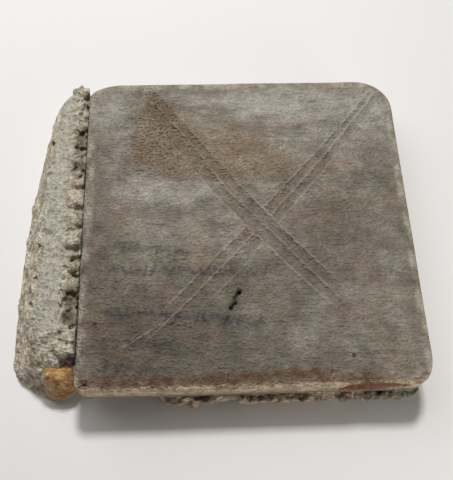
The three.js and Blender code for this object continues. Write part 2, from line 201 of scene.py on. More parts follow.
# %% The outline
tile_width, tile_depth = 427.0, 438.0
tile_bottom, tile_top = 38.0, 81.0
corner_reach = {"near right": (23, 33), "far right": (50, 45), "far left": (45, 22), "near left": (12, 14)}
side_wave, side_wave_length = 0.8, 150
columns, rows = 262, 268


def corner_arc(name, inset, start, end):
    """Points of one round corner between two angles, in degrees."""
    toward_y, toward_x = name.split()
    sign_x = 1 if toward_x == "right" else -1
    sign_y = 1 if toward_y == "far" else -1
    reach_x, reach_y = [max(reach - inset, 1) for reach in corner_reach[name]]
    centre_x = sign_x * (tile_width / 2 - inset - reach_x)
    centre_y = sign_y * (tile_depth / 2 - inset - reach_y)
    angle = np.radians(np.linspace(start, end, 24))
    return np.c_[centre_x + reach_x * np.cos(angle), centre_y + reach_y * np.sin(angle)]


def outline(inset):
    """The four stretches near, right, far and left, each evenly spaced along its length."""
    stretches = []
    for first, second, middle, count in (
        ("near left", "near right", 270, columns),
        ("near right", "far right", 0, rows),
        ("far right", "far left", 90, columns),
        ("far left", "near left", 180, rows),
    ):
        begin = corner_arc(first, inset, middle - 45, middle)
        path = np.r_[begin, corner_arc(second, inset, middle, middle + 45)]
        turn = 2 * math.pi / side_wave_length
        wave_x = side_wave * np.sign(path[:, 0]) * np.sin(path[:, 1] * turn)
        wave_y = side_wave * np.sign(path[:, 1]) * np.sin(path[:, 0] * turn + 1)
        path = path + np.c_[wave_x, wave_y]
        length = np.r_[0, np.cumsum(np.linalg.norm(np.diff(path, axis=0), axis=1))]
        even = np.linspace(0, length[-1], count)
        stretches.append(np.c_[np.interp(even, length, path[:, 0]), np.interp(even, length, path[:, 1])])
    return stretches


def ring(inset):
    """One closed ring of points round the tile."""
    return np.concatenate([stretch[:-1] for stretch in outline(inset)])


print("outline has", len(ring(0)), "points, width", round(float(np.ptp(ring(0)[:, 0])), 1), "mm")

# %% [markdown]
# ## The skin of the tile
#
# The tile could be a subdivided box, but its face needs far more points than its sides. So the
# face is a grid stretched between the four stretches of the outline, about 1.6 mm to a square,
# and rings run from its edge over the rounded arris and down the side to the flat underside.
# Each point also gets the direction that its relief moves it in.

# %% The face's grid
arris_radius, face_fall, lower_radius = 8.0, 0.8, 4.0


def face_grid():
    """Grid points framed by the outline, row after row."""
    near, right, far, left = outline(arris_radius)
    far, left = far[::-1], left[::-1]
    u = np.linspace(0, 1, columns)[None, :, None]
    v = np.linspace(0, 1, rows)[:, None, None]
    along = (1 - v) * near[None] + v * far[None]
    up = (1 - u) * left[:, None] + u * right[:, None]
    corners = (1 - v) * ((1 - u) * near[0] + u * near[-1]) + v * ((1 - u) * far[0] + u * far[-1])
    return (along + up - corners).reshape(-1, 2)


def grid_rim():
    """Numbers of the grid's outermost points, in the order of the rings."""
    number = np.arange(rows * columns).reshape(rows, columns)
    return np.r_[number[0, :-1], number[:-1, -1], number[-1, :0:-1], number[:0:-1, 0]]


print("the face has", columns, "by", rows, "points, its rim", len(grid_rim()))

# %% Rings down the side
side_top = tile_top - face_fall - arris_radius
profile = []
for angle in np.radians([78, 63, 47, 31, 15, 0]):
    inset = arris_radius * (1 - math.cos(angle))
    profile.append((inset, side_top + arris_radius * math.sin(angle), math.cos(angle), math.sin(angle)))
for z in np.linspace(side_top, tile_bottom + lower_radius, 12)[1:]:
    profile.append((0, z, 1, 0))
for angle in np.radians([40, 90]):
    inset = lower_radius * (1 - math.cos(angle))
    z = tile_bottom + lower_radius * (1 - math.sin(angle))
    profile.append((inset, z, math.cos(angle), -math.sin(angle)))

flat = face_grid()
tile_points = [np.c_[flat, np.full(len(flat), tile_top)]]
tile_ways = [np.tile([0.0, 0.0, 1.0], (len(flat), 1))]
for inset, z, out_share, up_share in profile:
    here = ring(inset)
    ahead = np.roll(here, -1, axis=0) - np.roll(here, 1, axis=0)
    outward = np.c_[ahead[:, 1], -ahead[:, 0]] / np.linalg.norm(ahead, axis=1, keepdims=True)
    tile_points.append(np.c_[here, np.full(len(here), z)])
    tile_ways.append(np.c_[outward * out_share, np.full(len(here), up_share)])
tile_points, tile_ways = np.concatenate(tile_points), np.concatenate(tile_ways)
face_count = len(flat)
print("tile skin:", len(tile_points), "points")

# %% Faces of the tile's skin
number = np.arange(face_count).reshape(rows, columns)
tile_faces = np.c_[
    number[:-1, :-1].ravel(), number[:-1, 1:].ravel(), number[1:, 1:].ravel(), number[1:, :-1].ravel()
].tolist()
above = grid_rim()
for k in range(len(profile)):
    below = face_count + k * len(above) + np.arange(len(above))
    tile_faces += np.c_[above, below, np.roll(below, -1), np.roll(above, -1)].tolist()
    above = below
tile_faces.append(above[::-1].tolist())
print("tile skin:", len(tile_faces), "faces")

# %% [markdown]
# ## The finger strokes
#
# Each stroke is two fingertips pulled through wet clay: two shallow channels with a ridge of clay
# squeezed up between them and one on either side. The second pair of fingers ran over the first,
# so one stroke is whole and the other is broken where they cross. A stroke follows a curve that
# bows a little, as an arm does. For each point of the face, `beside` is its distance to the left
# of that curve, and the ridges wander a little across it. The crest of a ridge is narrower than
# the squares of the mesh, so the distance to it is kept as an attribute and drawn by the finish.

# %% How a stroke presses the clay
class Stroke:
    """Two fingertips drawn over the face from start to end, with the ridges they leave."""

    def __init__(self, start, end, bow, ridges, depth, crisp):
        self.start, self.end = np.array(start, float), np.array(end, float)
        self.bow, self.ridges, self.depth, self.crisp = bow, ridges, depth, crisp

    def locate(self, points):
        """Share along the stroke and distance beside it, for each point."""
        along = self.end - self.start
        across = np.array([-along[1], along[0]]) / np.linalg.norm(along)
        middle = (self.start + self.end) / 2 + across * self.bow * 2
        t = np.linspace(-0.12, 1.12, 260)[:, None]
        path = (1 - t) ** 2 * self.start + 2 * t * (1 - t) * middle + t * t * self.end
        way = 2 * (1 - t) * (middle - self.start) + 2 * t * (self.end - middle)
        left = np.c_[-way[:, 1], way[:, 0]] / np.linalg.norm(way, axis=1, keepdims=True)
        nearest = np.empty(len(points), int)
        for first in range(0, len(points), 20000):
            part = points[first:first + 20000]
            gap = (part[:, None, 0] - path[None, :, 0]) ** 2 + (part[:, None, 1] - path[None, :, 1]) ** 2
            nearest[first:first + 20000] = gap.argmin(axis=1)
        beside = ((points - path[nearest]) * left[nearest]).sum(axis=1)
        return t[nearest, 0], beside

    def relief(self, points, seed):
        """Height of the relief, distance to the nearest ridge, its strength, and where it all reaches."""
        t, beside = self.locate(points)
        space = np.c_[points, np.zeros(len(points))]
        place = beside + 0.9 * hills(space, 30, seed) + 0.35 * hills(space, 9, seed + 5)
        beds = [np.interp(t, ridge["at"], ridge["beside"]) for ridge in self.ridges]
        press = ramp(t, -0.02, 0.1) * ramp(t, 1.0, 0.8)
        worn = 0.5 + 0.5 * ramp(hills(space, 18, seed + 9), -0.5, 0.2)
        height = np.zeros(len(points))
        for a, b in zip(beds, beds[1:]):
            across = np.clip((place - a) / (b - a), 0, 1)
            height -= self.depth * np.sin(math.pi * across) ** 0.7 * press
        gaps = np.stack([place - bed for bed in beds])
        strengths = np.stack([np.interp(t, ridge["at"], ridge["strength"]) for ridge in self.ridges]) * worn
        for ridge, gap, strength in zip(self.ridges, gaps, strengths):
            height += ridge["height"] * strength * np.exp(-(gap / self.crisp) ** 2)
        nearest = np.abs(gaps).argmin(axis=0)[None]
        gap = np.take_along_axis(gaps, nearest, 0)[0]
        strength = np.take_along_axis(strengths, nearest, 0)[0] * (np.abs(gap) < 4)
        reach = ramp(place, beds[0] - 4, beds[0]) * ramp(place, beds[-1] + 4, beds[-1]) * press
        return height, gap, strength, reach


def ridge(at, beside, strength, height):
    return {"at": at, "beside": beside, "strength": strength, "height": height}


print("a stroke can", [name for name in vars(Stroke) if not name.startswith("_")])

# %% [markdown]
# ## The two pairs of strokes
#
# Each ridge is listed by its place across the stroke and how clear it is, at a few shares of the
# way along. The first pair runs from far left to near right and is whole. The second runs from
# far right to near left, and its relief fades out wherever the first one reaches.

# %% The cross on the face
stroke_over = Stroke((-139.5, 212), (117.5, -121), -8, [
    ridge([0, 0.35, 0.5, 0.75, 0.93, 1], [-16, -21, -21.5, -17.5, -15, -14], [0, 0.5, 1, 1, 0.9, 0], 0.9),
    ridge([0, 0.3, 0.5, 0.7, 0.93, 1], [0, 1, -4.5, 0, -1, -1], [0.7, 0.9, 1, 1, 0.8, 0], 1.0),
    ridge([0, 0.5, 0.6, 0.88, 0.95], [12, 12.5, 12.5, 13.5, 13.5], [0, 0.3, 0.9, 0.8, 0], 0.8),
], depth=2.8, crisp=2.2)
stroke_under = Stroke((201.5, 206), (-115.5, -146), 8, [
    ridge([0, 0.1, 0.5, 0.92, 1], [-9, -9.4, -14, -13, -13], [0.4, 0.6, 1, 0.8, 0], 0.8),
    ridge([0, 0.3, 0.8, 1.0, 1.06], [-2, -0.5, 0.6, 1.2, 1.2], [1, 1, 1, 0.9, 0], 1.0),
    ridge([0, 0.2, 0.5, 0.72, 0.9, 0.95], [11.5, 11.5, 13.5, 20, 19, 19], [0.5, 1, 1, 0.7, 0.4, 0], 0.8),
], depth=1.7, crisp=1.6)

face_xy = tile_points[:face_count, :2]
over_height, over_gap, over_strength, over_reach = stroke_over.relief(face_xy, 11)
under_height, under_gap, under_strength, _ = stroke_under.relief(face_xy, 12)
under_strength = under_strength * ramp(over_reach, 0.6, 0.1)
stroke_height = over_height + under_height * (1 - over_reach)
# channel and bank carry the painted shade in the finger channels and the painted highlight on their banks.
channel = ramp(stroke_height, -0.3, -1.8)
bank = ramp(stroke_height, 0.15, 0.6)
over_is_nearer = over_strength > under_strength
ridge_gap = np.where(over_is_nearer, over_gap, under_gap)
ridge_strength = np.where(over_is_nearer, over_strength, under_strength)
print("strokes run from", np.round([stroke_height.min(), stroke_height.max()], 2), "mm")

# %% [markdown]
# ## The marks of the inscription
#
# What is left of the painted inscription is six rows of faint blue-grey marks. They are made as
# shallow strokes a third of a millimetre deep, in their places, that spell nothing: slanted bars,
# ticks and hooks picked by a fixed seed, each more or less worn away.

# %% Rows of strokes
inscription_rows = [
    # left end, right end, how clear the row still is
    ((-173, -35), (-76, -49), 0.75),
    ((-179, -69), (24, -76), 0.8),
    ((-171, -91), (-122, -95), 0.5),
    ((-184, -124), (15, -140), 1.0),
    ((-182, -159), (-85, -172), 0.6),
    ((-181, -189), (-85, -201), 0.65),
]
mark_height, mark_pitch, mark_width, haze_width = 12.5, 8.6, 2.5, 7.0
mark_shapes = [
    [((0.0, -0.5), (0.1, 0.5))],
    [((-0.25, 0.4), (0.3, -0.45))],
    [((-0.2, -0.45), (0.25, 0.35)), ((-0.3, 0.05), (0.1, -0.1))],
    [((0.0, 0.45), (-0.1, -0.1)), ((-0.1, -0.1), (0.3, -0.3))],
    [((-0.3, 0.1), (0.35, 0.2))],
    [((-0.15, -0.4), (-0.05, 0.1)), ((0.2, -0.1), (0.3, 0.4))],
]


def inscription(points):
    """How strongly each face point is marked, and the haze of rubbed paint round each row."""
    pick = np.random.default_rng(20)
    marked, haze = np.zeros(len(points)), np.zeros(len(points))
    count = 0
    for start, end, strength in inscription_rows:
        start, end = np.array(start, float), np.array(end, float)
        way = (end - start) / np.linalg.norm(end - start)
        up = np.array([-way[1], way[0]])
        haze = np.maximum(haze, strength * np.exp(-(to_line(points, start, end)[0] / haze_width) ** 2))
        for k in range(int(np.linalg.norm(end - start) / mark_pitch)):
            middle = start + way * (k + 0.5 + pick.uniform(-0.15, 0.15)) * mark_pitch
            worn = strength * pick.uniform(0.4, 1.0)
            for a, b in mark_shapes[pick.integers(len(mark_shapes))]:
                ends = [middle + (way * x + up * y) * mark_height * pick.uniform(0.8, 1.1)
                        for x, y in (a, b)]
                gap, _ = to_line(points, *ends)
                marked = np.maximum(marked, worn * np.exp(-(gap / mark_width) ** 2))
                count += 1
    space = np.c_[points, np.zeros(len(points))]
    patchy = ramp(rough(space, 22, 31), -0.5, 0.35)
    print("inscription:", count, "strokes in", len(inscription_rows), "rows")
    return marked * (0.6 + 0.4 * patchy), haze * ramp(rough(space, 15, 35), -0.25, 0.35)


marked, haze = inscription(face_xy)

# %% [markdown]
# ## Wiped and unwiped clay
#
# A wet hand wiped the face and left streaks along its way, slanting at the left of the middle. The
# brown patch at the far left was hardly wiped, so its skin stayed rough. Both are height fields,
# which can simply be added. Where a place also has a colour of its own, its strength is kept as an
# attribute for the finish.

# %% Streaks and the brown patch
face_3d = np.c_[face_xy, np.zeros(face_count)]
slant = math.radians(13)
turned = np.c_[
    face_xy[:, 0] * math.cos(slant) + face_xy[:, 1] * math.sin(slant),
    face_xy[:, 1] * math.cos(slant) - face_xy[:, 0] * math.sin(slant),
    np.zeros(face_count),
]
slanted_zone = inside_patch(
    face_xy, [(-190, -60), (-190, 50), (-120, 70), (0, 62), (20, 0), (-40, -50)], 25)
streaks = (
    hills(face_3d, (34, 3.4, 5), 41) * (1 - slanted_zone) + hills(turned, (40, 3.6, 5), 42) * slanted_zone
    + 0.8 * hills(face_3d, (15, 5.5, 5), 43)
)
mottle = rough(face_3d, (9, 6, 5), 44, 2)
brown_corners = [
    (-146, 158), (-129, 199), (-112, 192), (-73, 146), (-4, 136), (53, 104), (58, 66), (-8, 58),
    (-61, 63), (-88, 57), (-108, 71), (-141, 82), (-150, 122),
]
blotch = rough(face_3d, 46, 51, 4)
ragged = face_xy + 9 * np.c_[hills(face_3d, 22, 52), hills(face_3d, 22, 53)]
brown = inside_patch(ragged, brown_corners, 11) * (0.72 + 0.5 * np.clip(blotch + 0.3, -0.4, 0.6))
trail_corners = [(70, 68), (70, 88), (110, 92), (150, 86), (140, 66)]
spot_corners = [(-12, -29), (-5, -19), (9, -13), (13, -21), (2, -31)]
rugged_corners = [(-152, 82), (-152, 158), (-132, 202), (-112, 192), (-100, 120), (-92, 74)]
brown = np.maximum(brown, 0.35 * inside_patch(ragged, trail_corners, 14))
brown = np.maximum(brown, inside_patch(face_xy, spot_corners, 6))
rugged = inside_patch(ragged, rugged_corners, 26)
unwiped = 0.2 + 0.35 * brown + 0.6 * rugged + 0.4 * ramp(rough(face_3d, 34, 54), 0.2, 0.7)
unwiped = np.clip(unwiped, 0, 1)
grain = rough(face_3d, (6.5, 4.2, 4), 55, 2)
print("brown clay covers", round(100 * float((brown > 0.4).mean())), "% of the face")

# %% [markdown]
# ## Holes and pits
#
# Straws in the clay burnt out in the kiln and left two groups of deep holes in a slanted row.
# Smaller pits are where grains fell out. Each is a bowl with a ragged rim, listed by its place.

# %% Holes and pits
holes = [
    # place, radius and depth: the row of burnt-out straws first, then small pits
    (-16.1, -101.4, 3.2, 8.0), (-19.5, -105.3, 2.5, 4.5), (-22.1, -108.8, 2.4, 3.5),
    (-21.4, -114.6, 2.7, 7.0), (-24.4, -118.0, 2.4, 4.5), (-26.8, -121.0, 2.9, 6.0),
    (117, -184.5, 2.6, 3.0), (70, -216, 2.2, 2.0), (-139, -214, 3.0, 2.0), (-99, -139.5, 2.4, 2.2),
    (-83, -141.5, 2.2, 2.0), (-192, -137.5, 3.0, 2.2), (36, -156, 2.4, 1.6), (-201, -213, 4.5, 3.5),
    (88, -204, 2.4, 1.4), (-154, 128, 2.0, 1.2), (66, 178, 2.0, 1.2), (150, 20, 1.8, 1.2),
]
# hollow grows with a hole's depth and sets the painted shade in it.
hole_depth, hollow = np.zeros(face_count), np.zeros(face_count)
for x, y, radius, depth in holes:
    gap = np.hypot(face_xy[:, 0] - x, face_xy[:, 1] - y) / radius
    gap = gap * (1 + 0.25 * hills(face_3d, 6, 60))
    bowl = ramp(gap, 1.15, 0.55)
    hole_depth = np.maximum(hole_depth, depth * bowl)
    hollow = np.maximum(hollow, bowl * min(1, depth / 4))
print(len(holes), "holes, the deepest", round(float(hole_depth.max()), 1), "mm")

# %% [markdown]
# ## Hair cracks and scratches
#
# Drying left hair cracks, and handling left pale scratches. Both are thinner than the squares of
# the mesh, so the mesh only keeps how far each point is from the nearest one and how clear that
# one is. The finish draws the line from these two numbers.

# %% Hair cracks and scratches
cracks = [
    # one end, the other end, how clear it is
    ((-95, -140), (-68, -148), 1.0), ((-112, -142), (-92, -139), 0.8), ((98, -148), (120, -150), 1.0),
    ((-19, -179), (60, -181), 0.5), ((60, -181), (172, -183), 0.55), ((-208, -138), (-150, -137), 0.35),
    ((-33, -199), (-34, -214), 1.2), ((74, 73), (84, 82), 0.7), ((-66, -31), (-30, -24), 0.45),
    ((-172, -48), (-120, -50), 0.3), ((150, 160), (190, 150), 0.4), ((-120, -206), (-60, -209), 0.4),
    ((-205, -104), (-62, -107), 0.4), ((-120, -117), (-32, -120), 0.35), ((-12, -113), (16, -118), 0.35),
    ((-128, -52), (-104, -41), 0.45), ((-190, -190), (-122, -134), 0.35), ((-205, -198), (-150, -203), 0.3),
    ((-206, -205), (-196, -211), 1.2), ((-198, -205), (-195, -213), 1.3), ((-204, -212), (-198, -208), 1.0),
]
shaken = face_xy + 1.6 * np.c_[hills(face_3d, 9, 61), hills(face_3d, 9, 62)]


def nearest_line(lines):
    """Distance to the nearest of some short lines, and how strong that one is."""
    gap, strength = np.full(face_count, 9.0), np.zeros(face_count)
    for start, end, line_strength in lines:
        this_gap, share = to_line(shaken, start, end)
        nearer = this_gap < gap
        gap[nearer] = this_gap[nearer]
        strength[nearer] = (line_strength * ramp(share, 0, 0.12) * ramp(share, 1, 0.88))[nearer]
    return gap, strength * (gap < 4)


scratches = [
    ((-192, 121), (-83, 116), 0.6), ((-60, 124), (114, 119), 0.7), ((-175, 17), (-146, 25), 0.7),
    ((-127, 17), (-38, 34), 0.8), ((-63, -28), (-11, -14), 0.6), ((-160, 40), (-96, 58), 0.5),
    ((-170, -6), (-88, 12), 0.5), ((-107, -137), (-159, -168), 0.8), ((-137, -148), (-162, -169), 0.4),
    ((-186, 95), (-150, 104), 0.4), ((-184, -6), (-140, 6), 0.4), ((-150, 58), (-120, 64), 0.4),
    ((-90, 24), (-40, 48), 0.4),
    ((120, -122), (142, -146), 0.5), ((20, -118), (52, -104), 0.35), ((-20, 190), (30, 176), 0.4),
]
crack_gap, crack_strength = nearest_line(cracks)
scratch_gap, scratch_strength = nearest_line(scratches)
scratch_strength = scratch_strength * ramp(hills(face_3d, 14, 63), -0.7, 0.2)
print(len(cracks), "cracks and", len(scratches), "scratches")

# %% [markdown]
# ## All the heights of the face together
#
# Near the front edge a few small scars show where the skin was knocked off. With them the face is
# complete: it also falls a little towards its rim, where the hand pressed the wet edge down.

# %% Height of the face
scars = [
    [(78, -200), (84, -194), (96, -199), (104, -210), (92, -214), (80, -211)],
    [(104, -203), (118, -201), (124, -209), (112, -214), (103, -211)],
    [(186, -190), (199, -190), (203, -199), (192, -203)],
    [(-89, -137), (-75, -138), (-73, -144), (-86, -146)],
    [(-199, -124), (-186, -126), (-185, -136), (-197, -137)],
]
scar = np.zeros(face_count)
for corners in scars:
    scar = np.maximum(scar, inside_patch(ragged, corners, 4) * ramp(hills(face_3d, 3.4, 64), -0.4, 0.4))

# distance in from the outline, for the gentle fall of the face towards its arris
half = np.array([tile_width / 2, tile_depth / 2])
usual_corner = 30
beyond = np.abs(face_xy) - (half - usual_corner)
from_edge = usual_corner - np.linalg.norm(np.maximum(beyond, 0), axis=1)
from_edge = from_edge - np.minimum(beyond.max(axis=1), 0)
fall = face_fall * ramp(from_edge, 50, arris_radius)

quiet_rim = ramp(from_edge, arris_radius, arris_radius + 10)
face_height = (
    stroke_height * quiet_rim
    + 0.45 * rough(face_3d, 95, 70)
    + 0.16 * rough(face_3d, 24, 71)
    + (0.07 + 0.04 * unwiped) * streaks * (1 - 0.7 * over_reach)
    + (0.18 + 0.4 * unwiped) * grain + 0.55 * rugged * rough(face_3d, 7, 57) + 0.14 * mottle
    - 0.33 * marked - hole_depth - 0.4 * scar
)
print("face relief without holes:", np.round(np.percentile(face_height, [1, 99]), 2), "mm")

# %% [markdown]
# ## The sides and the arris
#
# The sides stood against the frame's boards, so they are flatter than the face but nicked and
# worn. On the near side a long flake has split off and shows the red-brown body of the clay. The
# whole skin is moved along its own directions by one relief in space, which leaves no seam
# between the grid and the rings.

# %% Relief of the sides
on_face = np.arange(len(tile_points)) < face_count
worn_edge = 0.35 * rough(tile_points, 60, 80) + 0.3 * rough(tile_points, (14, 14, 9), 81)
nicks = ramp(rough(tile_points, (17, 17, 12), 82), 0.42, 0.8)
arris = tile_ways[:, 2] * np.linalg.norm(tile_ways[:, :2], axis=1) * 2
side_relief = worn_edge - 1.3 * nicks * (0.25 + 0.75 * np.clip(arris, 0, 1))

flake_corners = [
    (97, 50), (112, 47.5), (136, 48), (160, 56), (184, 67.0), (178, 73), (155, 76), (130, 78), (107, 74),
]
on_near = (tile_points[:, 1] < -tile_depth / 2 + 12) & ~on_face
side_xz = tile_points[:, [0, 2]]
chipped_xz = side_xz + 0.8 * np.c_[hills(tile_points, 8, 83), hills(tile_points, 8, 84)]
split = inside_patch(chipped_xz, flake_corners, 1.0) * on_near
flake_depth = 2.6
side_relief = side_relief * (1 - 0.8 * split) - flake_depth * split
print("the flake covers", int((split > 0.5).sum()), "points of the near side")

# %% The tile's whole surface
lift = np.zeros(len(tile_points))
lift[:face_count] = face_height - fall
ring_z = tile_points[face_count:, 2]
lift[face_count:] = side_relief[face_count:] * ramp(ring_z, tile_bottom, tile_bottom + 5)
rim = grid_rim()
tile_shape = tile_points.copy()
rim_drop = np.interp(ring_z, [side_top, tile_top - face_fall], [0, 1])
nearest_rim = np.tile(np.arange(len(rim)), len(profile))
lift[face_count:] += rim_drop * (0.45 * rough(face_3d[rim], 95, 70))[nearest_rim]
tile_shape += tile_ways * lift[:, None]
print("the sides move in by up to", round(float(-lift[face_count:].min()), 1), "mm")

# %% [markdown]
# ## From numbers to a mesh
#
# Every piece goes through one helper. It writes the points in metres, the faces, and one named
# attribute for each thing the finish has to know.

# %% Mesh helper
def make_piece(name, points_mm, faces, attributes):
    """One piece of the model, with what its finish has to know kept at its points."""
    mesh = bpy.data.meshes.new(name)
    mesh.from_pydata((points_mm / 1000).tolist(), [], faces)
    mesh.validate()
    mesh.shade_smooth()
    for title, values in attributes.items():
        layer = mesh.attributes.new(title, "FLOAT", "POINT")
        layer.data.foreach_set("value", np.asarray(values, np.float32))
    piece = bpy.data.objects.new(name, mesh)
    bpy.context.scene.collection.objects.link(piece)
    mesh.calc_loop_triangles()
    print(name, "has", len(mesh.loop_triangles), "triangles")
    return piece


def over_all(values):
    """Face values, with zeros for the rings."""
    return np.r_[values, np.zeros(len(tile_points) - face_count)]


def carried(values):
    """Face values, with each ring point taking the value of the face's rim above it."""
    return np.r_[values, values[rim][nearest_rim]]


print("attributes for", len(over_all(marked)), "points")

# %% [markdown]
# ## Clouds and stains
#
# The face is darker at the lower left and paler at the far right, where a film of dust lies on the
# smooth skin. A cloud is an ellipse whose edge is torn by noise. Small dark stains are scattered
# between, one by one, because the eye finds a pattern in what a program scatters.

# %% Clouds and stains
clouds_dark = [
    # middle, reach along X and Y, strength: where the clay fired or weathered darker
    (-150, -165, 95, 60, 1.0), (-60, -165, 110, 55, 0.75), (-190, -60, 45, 90, 0.7),
    (60, -195, 130, 26, 0.5), (-90, -110, 110, 60, 0.6), (120, -20, 90, 80, 0.5),
    (60, -90, 90, 60, 0.45), (190, 60, 40, 90, 0.3),
    (150, -150, 80, 50, 0.25), (-199, 60, 22, 90, 0.4),
]
clouds_pale = [
    # places that the hand wiped smooth and left with a film of fine dust
    (-112, 42, 74, 20, 0.9), (-50, 55, 46, 11, 0.6), (70, 178, 120, 34, 0.9), (175, 165, 40, 50, 0.8),
    (-185, 175, 30, 34, 0.7), (-30, 190, 80, 18, 0.6), (120, 120, 90, 30, 0.4), (20, -30, 24, 30, 0.25),
]


def cloud_cover(clouds, seed):
    """Soft clouds with ragged edges, 0 to about 1, over the face."""
    ragged_far = face_xy + 16 * np.c_[rough(face_3d, 44, seed), rough(face_3d, 44, seed + 5)]
    cover = np.zeros(face_count)
    for x, y, reach_x, reach_y, strength in clouds:
        gap = np.hypot((ragged_far[:, 0] - x) / reach_x, (ragged_far[:, 1] - y) / reach_y)
        cover = 1 - (1 - cover) * (1 - strength * ramp(gap, 1.25, 0.2))
    return cover


dark_cover, pale_cover = cloud_cover(clouds_dark, 91), cloud_cover(clouds_pale, 96)
stain_spots = [
    # middle and reach
    (-154, -39, 9), (-93, -46, 8), (-173, -66, 8), (-167, -129, 12), (-53, -133, 8), (-178, -164, 11),
    (-175, -196, 13), (-107, -207, 9), (39, -202, 12), (88, -203, 8), (-7, -62, 8), (-167, 60, 7),
    (79, 138, 7), (186, 149, 9), (196, -22, 8), (87, -68, 7), (123, -139, 8), (165, -149, 10),
    (-64, -98, 8), (-138, -96, 8), (-60, -158, 10), (-20, -118, 8), (-130, -182, 10),
]
stain = np.zeros(face_count)
for x, y, reach in stain_spots:
    gap = np.hypot(ragged[:, 0] - x, 1.3 * (ragged[:, 1] - y)) / reach
    stain = np.maximum(stain, ramp(gap, 1.3, 0.3) * (0.6 + 0.4 * hills(face_3d, 5, 97)))
print(len(clouds_dark), "dark clouds,", len(clouds_pale), "pale ones and", len(stain_spots), "stains")

# %% [markdown]
# ## Rust, bare clay, worn edges and painted highlights
#
# A rusty band runs along the near edge of the face, and below it the upper half of the near side
# shows bare, light clay with a painted highlight. Elsewhere the rim is rubbed pale and carries a
# painted highlight along its arris. Each mask is a product of soft steps along X, Y and Z with
# some noise in it, so that its edge wanders.

# %% Rust, bare clay, worn edges and painted highlights
near_edge = -tile_depth / 2
rust_edge = carried(
    ramp(face_xy[:, 1] + 8 * rough(face_3d, (40, 14, 10), 90), near_edge + 24, near_edge + 12)
    * (1 - 0.75 * ramp(face_xy[:, 0], 120, 180)))
rust_edge = rust_edge * ramp(tile_points[:, 2], 76, 80)
# tan_side: light clay on the upper half of the near side, with a painted highlight in it.
top_of_side = ramp(tile_points[:, 2], 48, 58) * ramp(tile_points[:, 2], 80.3, 76.5)
tan_side = top_of_side * (~on_face) * (0.85 + 0.6 * rough(tile_points, (26, 26, 10), 98))
tan_side = tan_side * ramp(tile_points[:, 1], -188, -206)
right_corner = ramp(face_xy[:, 0], 172, 196)
# The pale rim: rubbed wear and a painted highlight along the arris, away from most of the near edge.
worn_rim_and_highlight = carried(ramp(from_edge, 15, 8.5) * np.maximum(ramp(face_xy[:, 1], -196, -180), right_corner))
worn_rim_and_highlight = worn_rim_and_highlight * ramp(tile_points[:, 2], 68, 76)
worn_rim_and_highlight = worn_rim_and_highlight * ramp(rough(tile_points, (26, 26, 9), 99), -0.3, 0.35)
steepness = np.clip(np.linalg.norm(tile_ways[:, :2], axis=1), 0, 1)
print("rust on", int((rust_edge > 0.3).sum()), "points, a worn rim on", int((worn_rim_and_highlight > 0.3).sum()))

# %% The tile's mesh
tile = make_piece("tile_fine", tile_shape, tile_faces, {
    "brown": carried(brown),
    "ink": over_all(marked),
    "haze": over_all(haze),
    "hollow": over_all(hollow),
    "channel": over_all(channel),
    "bank": over_all(bank),
    "ridge_gap": over_all(ridge_gap),
    "ridge_strength": over_all(ridge_strength),
    "crack_gap": over_all(crack_gap),
    "crack_strength": over_all(crack_strength),
    "scratch_gap": over_all(scratch_gap),
    "scratch_strength": over_all(scratch_strength),
    "worn_rim_and_highlight": worn_rim_and_highlight,
    "scar": over_all(scar),
    "split": split,
    "rust_edge": rust_edge,
    "side": steepness * ramp(tile_points[:, 0], -205, -190),
    "tan_side": np.clip(tan_side, 0, 1),
    "dark_cover": carried(dark_cover),
    "pale_cover": carried(pale_cover),
    "stain": over_all(stain),
    "unwiped": carried(unwiped),
    "rugged": carried(rugged),
    "blotch": carried(np.clip(0.5 + 0.6 * blotch, 0, 1)),
})
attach(tile, "root")
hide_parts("tile")

# %% [markdown]
# ## Finishes: how they are wired
#
# Every finish is a short chain: a base colour, then layers laid over it one by one, each with a
# mask. A mask is an attribute of the mesh, or noise in the object's own space. Writing the chain
# through a small helper class keeps each finish readable as a recipe.

# %% Finish helper
def srgb(red, green, blue):
    """A screen colour from 0 to 255 as the linear colour that shaders use."""
    def linear(value):
        value /= 255
        return value / 12.92 if value <= 0.04045 else ((value + 0.055) / 1.055) ** 2.4
    return (linear(red), linear(green), linear(blue), 1.0)


